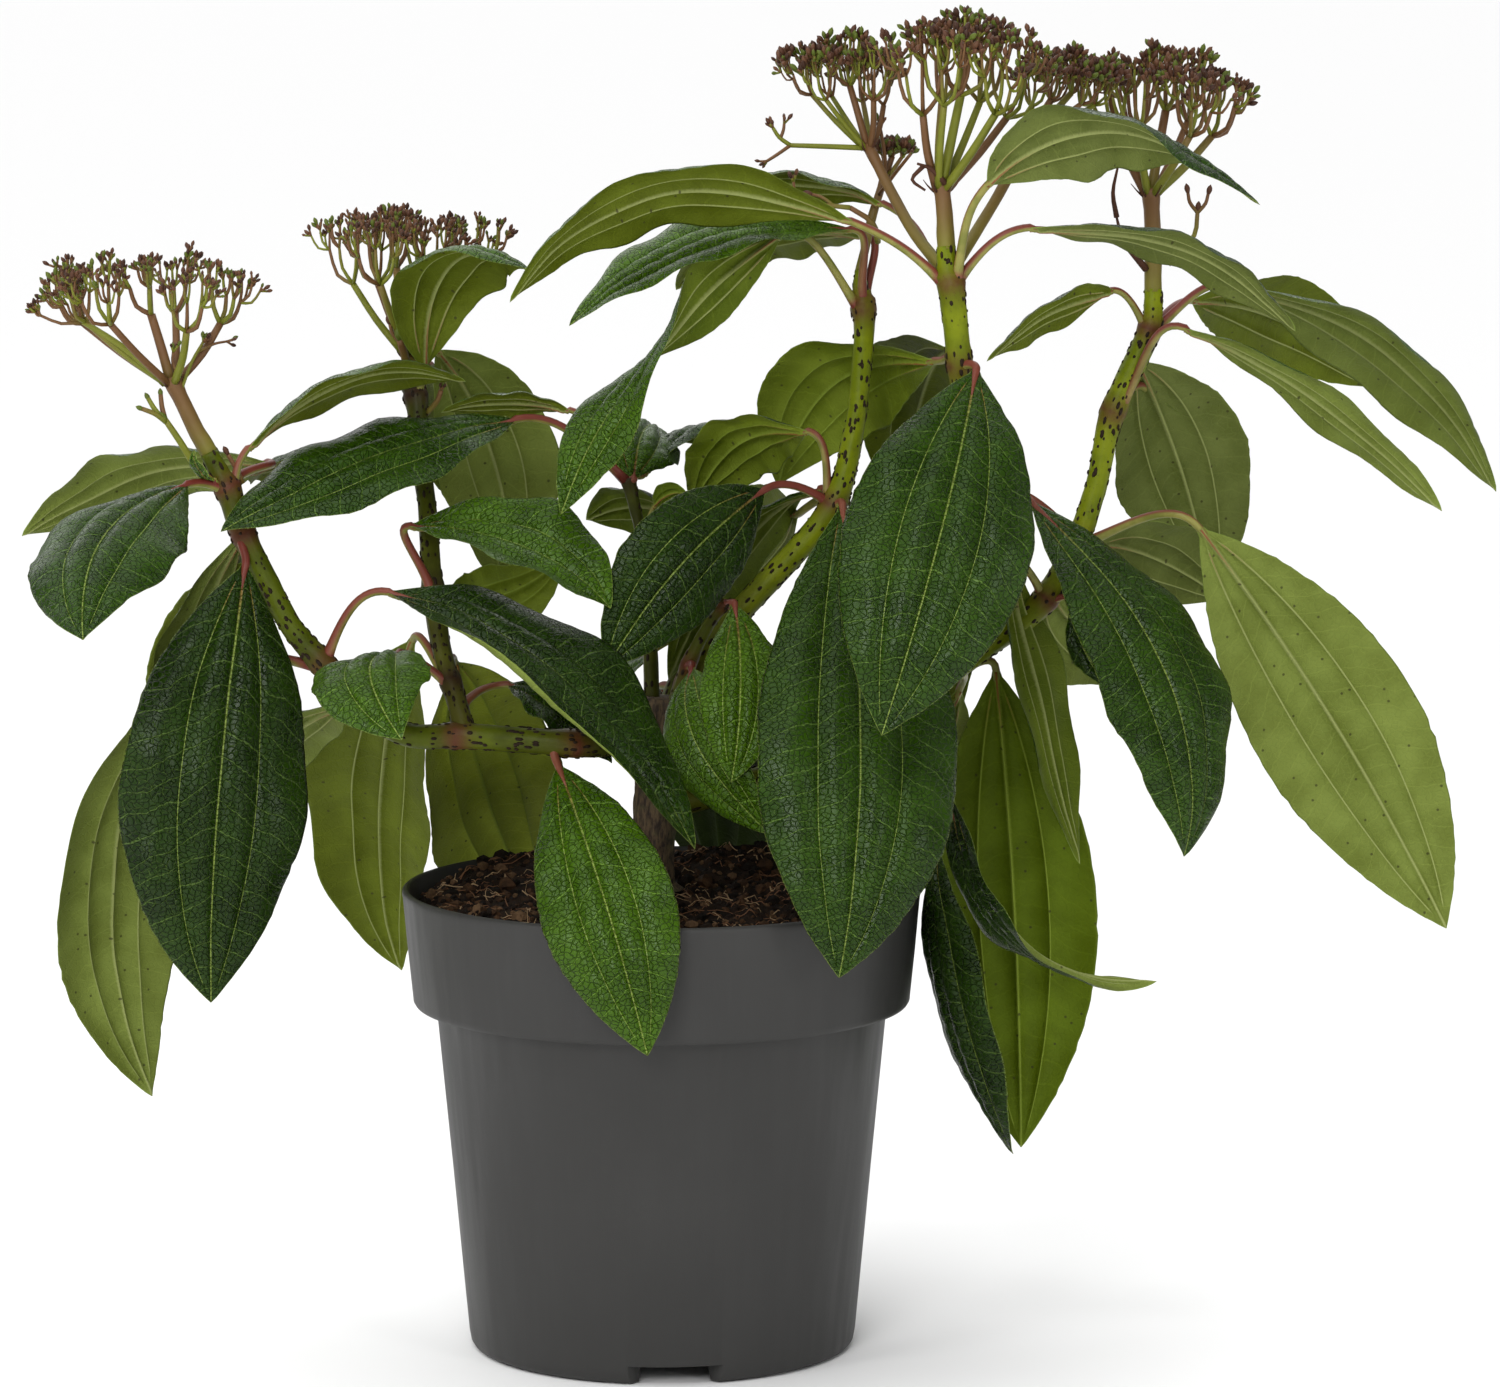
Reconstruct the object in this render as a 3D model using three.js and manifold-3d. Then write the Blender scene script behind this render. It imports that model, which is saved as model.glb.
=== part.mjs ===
// Potted david viburnum: a young evergreen shrub in a round grower's pot, with large
// three-veined leaves in pairs and flat heads of small dark buds on branching stalks.
// Millimetres, +Z up. The origin is the middle of the pot's underside, -Y is the front.
import * as THREE from "three";
import * as BufferGeometryUtils from "three/addons/utils/BufferGeometryUtils.js";
import Module from "manifold-3d";

const wasm = await Module();
wasm.setup();

// Driving dimensions
const GAP = 0.3;
const POT = {
  rimRadius: 85,
  height: 152,
  collarFootRadius: 81.5,
  collarFoot: 114.7,
  bodyTopRadius: 74.1,
  baseRadius: 63.7,
  wall: 1.6,
  floorUnderside: 6,
  footRing: 5,
  bossRadius: 14,
  rimWall: 2.4,
  segments: 36,
};
const NOTCH = { count: 3, outerWidth: 34, innerWidth: 16, depth: 10, turn: 4.7 };
const SOIL = { edge: 147, crown: 150, seat: 20, mound: 8, moundX: -42, moundY: 34, moundSpread: 30 };
const TRUNK = { x: -3, y: 3, topX: 1, topY: 1, top: 214, flare: 10.5, foot: 7.6, head: 6.4 };
const LEAF = { thickness: 2, droopOfEdge: 0.16, stalkRadius: 1.6, stalkSteps: 3, bladeSteps: 6 };
const LIMB = { sides: 7, step: 16 };
const HEAD = { rays: 5, twigs: 4, rayRadius: 1.2, budRadius: 1.9 };

// Stems: points with their radius, each stem from where it leaves the trunk or its
// parent stem to its topmost knot. A leaf stalk grows from a point of a stem.
const STEMS = {
  left: [
    [-2, -4, 197, 4.6], [-12, -28, 203, 4.4], [-27, -50, 206, 4.3], [-62, -47, 208, 4.0],
    [-81, -43, 208, 3.9], [-98, -38, 218, 3.8], [-108, -36, 230, 4.1], [-118, -35, 242, 3.6],
    [-127, -33, 259, 3.6], [-133, -32, 271, 4.0], [-138, -30, 285, 4.2], [-140, -30, 289, 3.4],
    [-144, -29.5, 297, 3.0],
  ],
  fork: [
    [-62, -46, 209, 3.6], [-65, -40, 219, 3.2], [-70, -30, 234, 3.1], [-73, -20, 250, 3.5],
    [-76, -4, 279, 3.0], [-79, 6, 301, 3.1], [-80, 10, 312, 3.8], [-81.6, 11.6, 317, 3.0],
    [-82, 12, 322, 2.9],
  ],
  inner: [
    [-3, 3, 212, 2.6], [-4, 9, 237, 2.2], [-5, 15, 256, 1.9], [-8, 18, 271, 1.8],
    [-11, 20, 284, 2.3],
  ],
  core: [[4, -3, 210, 2.4], [9, -8, 226, 2.2], [16, -12, 240, 2.0], [21, -14, 247, 1.8]],
  back: [[-1, 4, 198, 3.4], [4, 20, 215, 3.0], [12, 30, 232, 2.8], [16, 34, 241, 2.4]],
  mid: [
    [3, 2, 204, 4.4], [14, 2, 229, 4.2], [32, 2, 249, 4.0], [56, 2, 277, 4.2],
    [62, 4, 297, 3.3], [65, 6, 318, 3.1], [66, 8, 340, 3.6], [65, 8, 347, 2.6],
    [65, 9, 353, 1.9],
  ],
  centre: [
    [3, -2, 190, 4.6], [39, -12, 216, 4.3], [77, -18, 251, 4.0], [99, -22, 291, 4.0],
    [96, -27, 325, 3.9], [93, -30, 351, 4.3], [92, -30, 355, 3.4],
    [91.5, -29.5, 363, 3.0],
  ],
  right: [
    [2, 4, 178, 4.8], [48, 8, 192, 4.5], [80, 10, 212, 4.4], [104, 12, 228, 4.1],
    [126, 15, 245, 4.3], [136, 16, 263, 3.9], [142, 18, 280, 3.6], [148, 20, 306, 3.9],
    [160, 22, 333, 3.9], [161, 22, 338, 3.2],
    [161, 23, 346, 3.0],
  ],
};

// Bare boughs: name, stem, and the points of the stem where the bough starts and ends.
const BOUGHS = [
  ["bough_left", "left", 0, 5.6],
  ["bough_mid", "mid", 0, 2.6],
  ["bough_centre", "centre", 0, 2.6],
  ["bough_right", "right", 0, 1.8],
];

// Masses of leaves: name, and the stretch of stem that carries the mass.
const MASSES = [
  ["leaves_left_low", "left", 5.6, 6.7],
  ["leaves_left_crown", "left", 6.7, 12],
  ["leaf_front", "left", 2.2, 2.2],
  ["leaves_fork_low", "fork", 0, 2.5],
  ["leaves_fork_crown", "fork", 2.5, 8],
  ["leaves_inner", "inner", 0, 4],
  ["leaves_core", "core", 0, 3],
  ["leaves_back", "back", 0, 3],
  ["leaves_mid_low", "mid", 2.6, 4.3],
  ["leaves_mid_crown", "mid", 4.3, 8],
  ["leaves_centre_low", "centre", 2.6, 4.5],
  ["leaves_centre_crown", "centre", 4.5, 7],
  ["leaves_right_low", "right", 1.8, 3.3],
  ["leaves_right_mid", "right", 3.3, 5.6],
  ["leaves_right_crown", "right", 5.6, 10],
];

// Leaves: mass, point of the stem where the stalk grows, where the blade begins, where
// its midrib is half way, where its tip is, its width, how far it is rolled in degrees,
// how far it twists from base to tip, and by what share of its half width its edges
// droop. The upper side faces the way the midrib bows.
const LEAVES = [
  ["leaves_left_low", 6, [-156, -22, 225], [-181, 4, 150], [-169, 8, 80], 50, 18],
  ["leaves_left_low", 6, [-102, -20, 215], [-129, 16, 196], [-157, 34, 174], 32, -40],
  ["leaves_left_low", 6, [-86, -45, 254], [-31, -62, 230], [12, -68, 175], 50, 4, 0, -0.1],
  ["leaves_left_crown", 9, [-132, -38, 262], [-139, -62, 193], [-142, -66, 125], 62, -32, 0, 0.2],
  ["leaves_left_crown", 9, [-135, -26, 270], [-152, 2, 230], [-156, 10, 186], 42, -14],
  ["leaves_left_crown", 10.2, [-150, -40, 288], [-173, -74, 276], [-177, -104, 246], 50, -40, 0, 0.3],
  ["leaves_left_crown", 10.2, [-127, -8, 292], [-167, 14, 287], [-210, 15, 266], 46, -26, 0, 0.1],
  ["leaves_left_crown", 10, [-132, -26, 298], [-102, -10, 319], [-63, 0, 318], 34, -4, 0, 0.2],
  ["leaves_left_crown", 9, [-132, -18, 261], [-147, 38, 212], [-155, 60, 151], 50, 32],
  ["leaves_left_crown", 10, [-133, -8, 289], [-117, 20, 291], [-99, 50, 280], 34, -20, 0, 0.2],
  ["leaf_front", 2.2, [-32, -56, 200], [-16, -92, 161], [-3, -98, 114], 43, 8],
  ["leaves_fork_low", 1.3, [-80, -15, 235], [-95, 47, 169], [-89, 67, 112], 52, 68, 0, 0.3],
  ["leaves_fork_low", 1.6, [-67, -10, 227], [-61, 55, 176], [-42, 95, 117], 57, -12, 0, 0.2],
  ["leaves_fork_low", 1.3, [-83, -40, 234], [-90, -80, 233], [-79, -98, 214], 38, -30],
  ["leaves_fork_low", 0.8, [-49, -26, 222], [-32, -30, 217], [-15, -30, 197], 32, -2],
  ["leaves_fork_crown", 6, [-77, 6, 321], [-67, -14, 358], [-39, -32, 355], 42, -30, 0, 0.3],
  ["leaves_fork_crown", 6, [-74, 22, 326], [-57, 44, 290], [-50, 46, 238], 43, -54, 0, 0.2],
  ["leaves_fork_crown", 3, [-80, -24, 273], [-43, -40, 268], [-15, -46, 249], 40, 0, 0, -0.3],
  ["leaves_fork_crown", 3, [-68, -8, 250], [-53, 15, 245], [-33, 30, 256], 26, 10],
  ["leaves_fork_crown", 6, [-76, 26, 321], [-63, 84, 295], [-55, 110, 253], 44, -16],
  ["leaves_inner", 4, [-47, 4, 305], [-93, -24, 294], [-139, -48, 274], 42, -2, 0, 0.05],
  ["leaves_inner", 4, [-30, 16, 307], [-51, 15, 310], [-72, 12, 307], 22, 6],
  ["leaves_inner", 4, [-9, 18, 284], [-7, 30, 297], [-3, 64, 298], 30, 24],
  ["leaves_inner", 4, [-6, 26, 285], [6, 46, 297], [21, 66, 292], 24, -12],
  ["leaves_inner", 2.3, [-2, 8, 276], [3, 2, 281], [9, -6, 282], 9, -50],
  ["leaves_inner", 2.3, [9, 34, 269], [-8, 50, 272], [-26, 58, 267], 32, -6, 0, 0.2],
  ["leaves_core", 3, [24, -16, 247], [26, -44, 222], [23, -54, 194], 27, 22],
  ["leaves_core", 1, [10, -18, 226], [11, -40, 206], [35, -46, 176], 34, -2],
  ["leaves_back", 3, [30, 44, 232], [44, 92, 177], [46, 122, 109], 50, -2],
  ["leaves_back", 2, [-4, 36, 225], [-20, 70, 212], [-36, 108, 197], 40, 20],
  ["leaves_mid_low", 3, [48, 5, 301], [26, 20, 297], [10, 28, 275], 34, 24, 0, 0.2],
  ["leaves_mid_low", 3, [59, -6, 278], [64, -68, 206], [57, -88, 137], 66, 6],
  ["leaves_mid_low", 3, [34, -6, 283], [7, -30, 261], [-17, -40, 229], 38, -40],
  ["leaves_mid_low", 3, [52, 8, 282], [26, 20, 262], [2, 10, 219], 32, -14, 60, 0.1],
  ["leaves_mid_low", 3.1, [45, 24, 272], [30, 76, 253], [8, 108, 226], 42, 46],
  ["leaves_mid_crown", 6, [39, -6, 365], [-3, -36, 330], [-31, -48, 279], 34, 42, -180, 0.1],
  ["leaves_mid_crown", 6.4, [62, 0, 367], [13, -22, 364], [-29, -30, 338], 36, 8, 0, 0],
  ["leaves_mid_crown", 6, [67, 20, 364], [32, 52, 361], [4, 74, 343], 36, 6, 0, 0.2],
  ["leaves_centre_low", 4, [89, 4, 324], [56, 40, 313], [38, 40, 280], 44, 16, 0, 0.2],
  ["leaves_centre_low", 4, [101, -36, 324], [88, -78, 274], [70, -90, 214], 60, 4],
  ["leaves_centre_low", 3, [88, 10, 278], [80, 84, 223], [74, 118, 145], 54, 20],
  ["leaves_centre_low", 4, [94, 0, 328], [87, 56, 309], [80, 88, 263], 46, 30],
  ["leaves_centre_crown", 5, [61, -30, 371], [-2, -46, 380], [-47, -54, 347], 47, 34, 0, 0.15],
  ["leaves_centre_crown", 4.6, [72, 4, 375], [45, 14, 382], [14, 18, 381], 32, -20, 0, 0.2],
  ["leaves_centre_crown", 5, [104, -42, 383], [142, -56, 401], [189, -60, 378], 44, -42, 60, 0.22],
  ["leaves_centre_crown", 5, [118, -30, 369], [168, -16, 362], [205, -12, 335], 36, 2],
  ["leaves_right_low", 2, [110, 16, 221], [117, 26, 139], [119, 12, 62], 56, -4],
  ["leaves_right_low", 2, [93, -26, 187], [113, -46, 142], [159, -52, 129], 32, 2, 80, 0],
  ["leaves_right_low", 2, [89, -14, 171], [93, -18, 117], [115, -10, 64], 38, 8, 0, 0.3],
  ["leaves_right_low", 2.4, [99, 46, 211], [81, 84, 161], [71, 104, 119], 44, 0, 0, 0.2],
  ["leaves_right_mid", 4, [113, 4, 259], [123, 8, 211], [137, 6, 158], 34, -38, 0, 0.2],
  ["leaves_right_mid", 4, [135, 8, 245], [141, 2, 232], [147, 0, 217], 18, 14],
  ["leaves_right_mid", 4, [128, 28, 246], [139, 52, 230], [158, 70, 211], 36, 28],
  ["leaves_right_mid", 5, [143, 22, 262], [163, 34, 257], [187, 40, 242], 36, -12],
  ["leaves_right_mid", 5, [175, -4, 270], [221, 14, 204], [258, 4, 137], 55, -20],
  ["leaves_right_mid", 5, [120, -4, 279], [162, -42, 228], [168, -48, 169], 50, 12],
  ["leaves_right_crown", 7, [156, 28, 322], [172, 60, 286], [185, 60, 242], 48, -22, 0, 0.2],
  ["leaves_right_crown", 7, [171, 14, 334], [214, 12, 311], [255, 6, 275], 34, -6, -30, 0.1],
  ["leaves_right_crown", 8, [187, 30, 347], [241, 44, 323], [277, 40, 278], 46, 6, 0, 0.2],
  ["leaves_right_crown", 8, [147, 18, 346], [126, 4, 340], [105, -8, 325], 26, 50],
  ["leaves_right_crown", 7.2, [161, 44, 311], [178, 98, 280], [183, 124, 246], 42, 4],
  ["leaves_right_crown", 8, [175, 44, 341], [208, 84, 332], [242, 110, 307], 34, -24],
];

// Flower heads: name, the points of the stalk up to the hub, the stalk's radius, the
// middle of the flat top, how far the head reaches sideways, and its seed.
const HEADS = [
  ["head_left", [[-144.4, -29.4, 297.8], [-148, -29, 304], [-156, -28, 321]], 3, [-164, -30, 360], 40, 1],
  ["head_fork", [[-82, 12, 322.9], [-82, 12, 327]], 2.8, [-84, 12, 372], 34, 2],
  ["head_mid", [[65, 9, 353.8], [69, 12, 371], [73, 14, 384]], 1.6, [76, 14, 396], 7, 3],
  ["head_centre", [[91.5, -29.5, 363.4], [91, -29, 372], [90, -28, 383]], 3, [97, -36, 440], 24, 4],
  ["head_centre_left", [[91, -28, 355], [82, -17, 366], [74, -6, 380], [67, 0, 394]], 2, [60, 4, 429], 22, 5],
  ["head_centre_right", [[94, -28, 356], [103, -14, 369], [111, -6, 382], [119, 2, 397]], 2, [131, 4, 425], 18, 6],
  ["head_right", [[161, 23, 346.4], [161, 24, 359], [160, 24, 379]], 3, [168, 26, 427], 26, 7],
];

const COLOURS = {
  pot: new THREE.MeshStandardMaterial({ color: 0x4a4947, roughness: 0.62, metalness: 0 }),
  soil: new THREE.MeshStandardMaterial({ color: 0x2a1e17, roughness: 0.95, metalness: 0 }),
  trunk: new THREE.MeshStandardMaterial({ color: 0x4a3a26, roughness: 0.85, metalness: 0 }),
  bough: new THREE.MeshStandardMaterial({ color: 0x6d7a24, roughness: 0.6, metalness: 0 }),
  leaves: new THREE.MeshStandardMaterial({ color: 0x2f5a26, roughness: 0.45, metalness: 0 }),
  head: new THREE.MeshStandardMaterial({ color: 0x5c3a2c, roughness: 0.7, metalness: 0 }),
};

const group = new THREE.Group();

// Solids

function toSolid(geometry) {
  const bare = geometry.index ? geometry.clone() : geometry;
  bare.deleteAttribute("normal");
  bare.deleteAttribute("uv");
  const merged = BufferGeometryUtils.mergeVertices(bare, 1e-4);
  return new wasm.Manifold(new wasm.Mesh({
    numProp: 3,
    vertProperties: new Float32Array(merged.attributes.position.array),
    triVerts: new Uint32Array(merged.index.array),
  }));
}

function addMesh(name, solid, material) {
  const mesh = solid.getMesh();
  const geometry = new THREE.BufferGeometry();
  geometry.setAttribute("position", new THREE.BufferAttribute(mesh.vertProperties, 3));
  geometry.setIndex(new THREE.BufferAttribute(mesh.triVerts, 1));
  geometry.computeVertexNormals();
  const piece = new THREE.Mesh(geometry, material);
  piece.name = name;
  group.add(piece);
}

function largestBody(solid) {
  const bodies = solid.decompose();
  return bodies.reduce((best, body) => (body.volume() > best.volume() ? body : best));
}

function join(solids) {
  return solids.reduce((whole, solid) => whole.add(solid));
}

// Limbs: a round bar bent along a curve, with a radius that changes along it.

function bentBar(curve, radiusAt, sides, steps) {
  const bar = new THREE.CylinderGeometry(1, 1, 1, sides, steps);
  const frames = curve.computeFrenetFrames(steps, false);
  const points = curve.getSpacedPoints(steps);
  const position = bar.attributes.position;
  for (let i = 0; i < position.count; i++) {
    const step = Math.round((0.5 + position.getY(i)) * steps);
    const radius = radiusAt(step / steps);
    const point = points[step].clone()
      .addScaledVector(frames.normals[step], position.getZ(i) * radius)
      .addScaledVector(frames.binormals[step], position.getX(i) * radius);
    position.setXYZ(i, point.x, point.y, point.z);
  }
  return toSolid(bar);
}

function stemCurve(stem) {
  const points = STEMS[stem].map(([x, y, z]) => new THREE.Vector3(x, y, z));
  return new THREE.CatmullRomCurve3(points, false, "centripetal");
}

// A stretch of a curve, from one share of its length to another.
class Stretch extends THREE.Curve {
  constructor(whole, start, end) {
    super();
    this.whole = whole;
    this.start = start;
    this.end = end;
  }

  getPoint(t, target = new THREE.Vector3()) {
    return this.whole.getPoint(THREE.MathUtils.lerp(this.start, this.end, t), target);
  }
}

function stemRadius(stem, at) {
  const points = STEMS[stem];
  const low = Math.min(Math.floor(at), points.length - 2);
  return THREE.MathUtils.lerp(points[low][3], points[low + 1][3], at - low);
}

// The stretch of a stem from one of its points to another. Past the first point it
// starts a gap late, and grow makes it thicker and longer all round, to cut a clearance.
function limb(stem, from, to, grow = 0) {
  const whole = stemCurve(stem);
  const last = STEMS[stem].length - 1;
  const pace = whole.getPoint(from / last).distanceTo(whole.getPoint((from + 0.1) / last));
  const start = from > 0 ? from + 0.1 * (GAP - grow) / pace : from;
  const curve = new Stretch(whole, start / last, to / last);
  const steps = Math.max(2, Math.round(curve.getLength() / LIMB.step));
  const radiusAt = (t) => stemRadius(stem, start + (to - start) * t) + grow;
  return bentBar(curve, radiusAt, LIMB.sides, steps);
}

function trunk(grow = 0) {
  const curve = new THREE.CatmullRomCurve3([
    new THREE.Vector3(TRUNK.x, TRUNK.y, SOIL.crown + GAP - grow),
    new THREE.Vector3(TRUNK.x, TRUNK.y, SOIL.crown + 8),
    new THREE.Vector3(TRUNK.x + 1, TRUNK.y - 1, 182),
    new THREE.Vector3(TRUNK.topX, TRUNK.topY, TRUNK.top + grow),
  ]);
  const radiusAt = (t) => {
    const taper = THREE.MathUtils.lerp(TRUNK.foot, TRUNK.head, t);
    return Math.max(taper, TRUNK.flare - 30 * t) + grow;
  };
  return bentBar(curve, radiusAt, 10, 8);
}

// Leaves

function midrib(base, middle, tip) {
  const bend = middle.clone().multiplyScalar(2).addScaledVector(base, -0.5).addScaledVector(tip, -0.5);
  return new THREE.QuadraticBezierCurve3(base, bend, tip);
}

// A leaf stalk rises from the stem, turns over and comes in line with the midrib.
function stalkPath(stem, at, rib) {
  const last = STEMS[stem].length - 1;
  const whole = stemCurve(stem);
  const core = whole.getPoint(at / last);
  const along = whole.getTangent(Math.min(at / last, 0.999));
  const base = rib.getPoint(0);
  const away = base.clone().sub(core);
  away.addScaledVector(along, -away.dot(along)).normalize();
  const root = core.addScaledVector(away, 0.45 * stemRadius(stem, at));
  const reach = root.distanceTo(base);
  const rise = base.clone().sub(root).normalize().addScaledVector(along, 0.4).normalize();
  return new THREE.CubicBezierCurve3(
    root,
    root.clone().addScaledVector(rise, 0.45 * reach),
    base.clone().addScaledVector(rib.getTangent(0), -0.35 * reach),
    base,
  );
}

// The blade's own frame at a place on the midrib: the way its upper side faces, and the
// way across it. The upper side faces the way the midrib bows, turned by the roll.
function bladeFrame(rib, t, roll, twist) {
  const bow = rib.getPoint(0.5).addScaledVector(rib.v0, -0.5).addScaledVector(rib.v2, -0.5);
  const along = rib.getTangent(t);
  const face = bow.addScaledVector(along, -bow.dot(along)).normalize();
  face.applyAxisAngle(along, THREE.MathUtils.degToRad(roll + twist * (t - 0.5)));
  return { face, across: along.clone().cross(face) };
}

// Stations along a leaf, from the stem to the tip: each has its point, the way up and
// the way across, half its width, half its thickness and how far its edges droop.
function leafStations(stem, at, base, middle, tip, width, roll, twist = 0, droop = LEAF.droopOfEdge) {
  const rib = midrib(...[base, middle, tip].map((point) => new THREE.Vector3(...point)));
  const stalk = stalkPath(stem, at, rib);
  const stations = [];
  for (let i = 0; i <= LEAF.bladeSteps; i++) {
    const t = i / LEAF.bladeSteps;
    const { face, across } = bladeFrame(rib, t, roll, twist);
    const bulge = Math.pow(Math.sin(Math.PI * t), 0.75);
    const half = Math.max(0.5 * width * bulge, i === 0 ? LEAF.stalkRadius : 0.3);
    const thick = THREE.MathUtils.lerp(LEAF.stalkRadius, 0.5 * LEAF.thickness, Math.min(1, 5 * t));
    stations.push({
      point: rib.getPoint(t),
      face,
      across,
      half,
      thick: i === LEAF.bladeSteps ? 0.3 : thick,
      droop: i === 0 ? 0 : droop * half,
    });
  }
  for (let i = LEAF.stalkSteps - 1; i >= 0; i--) {
    const t = i / LEAF.stalkSteps;
    const along = stalk.getTangent(t);
    const next = stations[0].across;
    const across = next.clone().addScaledVector(along, -next.dot(along)).normalize();
    stations.unshift({
      point: stalk.getPoint(t),
      face: across.clone().cross(along),
      across,
      half: LEAF.stalkRadius,
      thick: LEAF.stalkRadius,
      droop: 0,
    });
  }
  return stations;
}

// A four-sided bar drawn out flat: as thick as wide on the stalk, with sharp edges that
// droop on the blade.
function leaf(stem, at, ...shape) {
  const stations = leafStations(stem, at, ...shape);
  const steps = stations.length - 1;
  const bar = new THREE.CylinderGeometry(1, 1, 1, 4, steps);
  const position = bar.attributes.position;
  for (let i = 0; i < position.count; i++) {
    const station = stations[Math.round((0.5 + position.getY(i)) * steps)];
    const across = position.getZ(i);
    const lift = position.getX(i) * station.thick - station.droop * across * across;
    const point = station.point.clone()
      .addScaledVector(station.across, -across * station.half)
      .addScaledVector(station.face, lift);
    position.setXYZ(i, point.x, point.y, point.z);
  }
  return toSolid(bar);
}

// Flower heads

// A number from 0 to 1 that is always the same for the same seed.
function chance(seed) {
  const value = Math.sin(seed * 12.9898) * 43758.5453;
  return value - Math.floor(value);
}

// A ray of a flower head: a thin bar from the hub that ends in a ring of twigs. Every
// second side of the bar is flung out as a twig with a bud at its end, and one twig
// stands in the middle.
function ray(foot, footRadius, fork, spread, rise, turn) {
  const { twigs, rayRadius, budRadius } = HEAD;
  const rings = [
    { centre: foot, height: 0, flung: false },
    { centre: fork, height: 0, flung: false },
    { centre: fork, height: rise - 2 * budRadius, flung: true },
    { centre: fork, height: rise, flung: true },
    { centre: fork, height: 0.4 * rise, flung: false },
  ];
  const bar = new THREE.CylinderGeometry(1, 1, 1, 2 * twigs, rings.length - 1);
  const position = bar.attributes.position;
  for (let i = 0; i < position.count; i++) {
    const step = Math.round((0.5 + position.getY(i)) * (rings.length - 1));
    const { centre, height, flung } = rings[step];
    const angle = Math.atan2(-position.getZ(i), position.getX(i));
    const pole = Math.hypot(position.getX(i), position.getZ(i)) < 0.5;
    const isTwig = Math.round(angle / Math.PI * twigs + 2 * twigs) % 2 === 0;
    const slim = step === 0 ? footRadius : rayRadius * (1 - 0.12 * step);
    const out = flung && isTwig ? spread : slim;
    const lift = flung && !isTwig ? 0.1 * step * rise : height;
    const top = pole && step === rings.length - 1;
    position.setXYZ(
      i,
      centre.x + (pole ? 0 : out * Math.cos(angle + turn)),
      centre.y + (pole ? 0 : out * Math.sin(angle + turn)),
      centre.z + (top ? rise : lift),
    );
  }
  return toSolid(bar);
}

// A ray leaves the hub for each of a ring of places under the head's flat top and for
// the place in its middle.
function flowerHead(stalk, radius, top, reach, seed) {
  const path = new THREE.CatmullRomCurve3(stalk.map((point) => new THREE.Vector3(...point)));
  const hub = path.getPoint(1);
  const crown = new THREE.Vector3(...top);
  const parts = [bentBar(path, (t) => radius * (1 - 0.15 * t), 6, stalk.length)];
  const rise = 0.3 * crown.distanceTo(hub);
  const rays = reach < 12 ? 2 : HEAD.rays;
  for (let number = 0; number <= rays; number++) {
    const luck = chance(100 * seed + number);
    const turn = 2 * Math.PI * (number + 0.5 * luck) / rays;
    const out = number === 0 ? 0 : reach * (0.56 + 0.1 * luck);
    const fork = new THREE.Vector3(
      crown.x + out * Math.cos(turn),
      crown.y + out * Math.sin(turn),
      crown.z - rise * (1 + 0.3 * (out / reach) ** 2),
    );
    const side = number === 0 ? 0 : 0.55 * radius;
    const foot = new THREE.Vector3(
      hub.x + side * Math.cos(turn),
      hub.y + side * Math.sin(turn),
      hub.z - 0.6 * radius,
    );
    parts.push(ray(foot, 0.25 * radius, fork, 0.36 * reach, rise * (0.9 + 0.1 * luck), turn));
  }
  return join(parts);
}

// Pot and soil

function lathe(profile, segments) {
  const points = profile.map(([radius, height]) => new THREE.Vector2(radius, height));
  const turned = new THREE.LatheGeometry(points, segments);
  turned.rotateX(Math.PI / 2);
  return toSolid(turned);
}

function bodyRadius(height) {
  const rise = (height - 5) / (POT.collarFoot - 5);
  return THREE.MathUtils.lerp(POT.baseRadius, POT.bodyTopRadius, rise);
}

function collarRadius(height) {
  const rise = (height - POT.collarFoot) / (POT.height - POT.collarFoot);
  return THREE.MathUtils.lerp(POT.collarFootRadius, POT.rimRadius, rise);
}

function potShell() {
  const { collarFoot, height, wall, floorUnderside, footRing, bossRadius, baseRadius } = POT;
  const ledge = collarFoot - 1;
  const inside = floorUnderside + wall;
  const rimInside = collarRadius(height) - POT.rimWall;
  const profile = [
    [0, 0], [bossRadius, 0], [bossRadius + 1, floorUnderside],
    [baseRadius - footRing - 2, floorUnderside], [baseRadius - footRing, 0],
    [baseRadius - 2.5, 0], [baseRadius - 0.6, 1.6], [bodyRadius(5), 5],
    [bodyRadius(ledge), ledge], [collarRadius(collarFoot) - 1.2, ledge],
    [collarRadius(collarFoot), collarFoot + 0.8],
    [collarRadius(height - 3), height - 3], [POT.rimRadius, height - 1.2],
    [POT.rimRadius - 0.8, height], [rimInside, height],
    [collarRadius(collarFoot + 3) - wall, collarFoot + 3],
    [bodyRadius(ledge) - wall, ledge + wall],
    [bodyRadius(inside + 3) - wall, inside + 3], [bodyRadius(inside) - wall - 3, inside],
    [0, inside],
  ];
  return lathe(profile, POT.segments);
}

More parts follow.
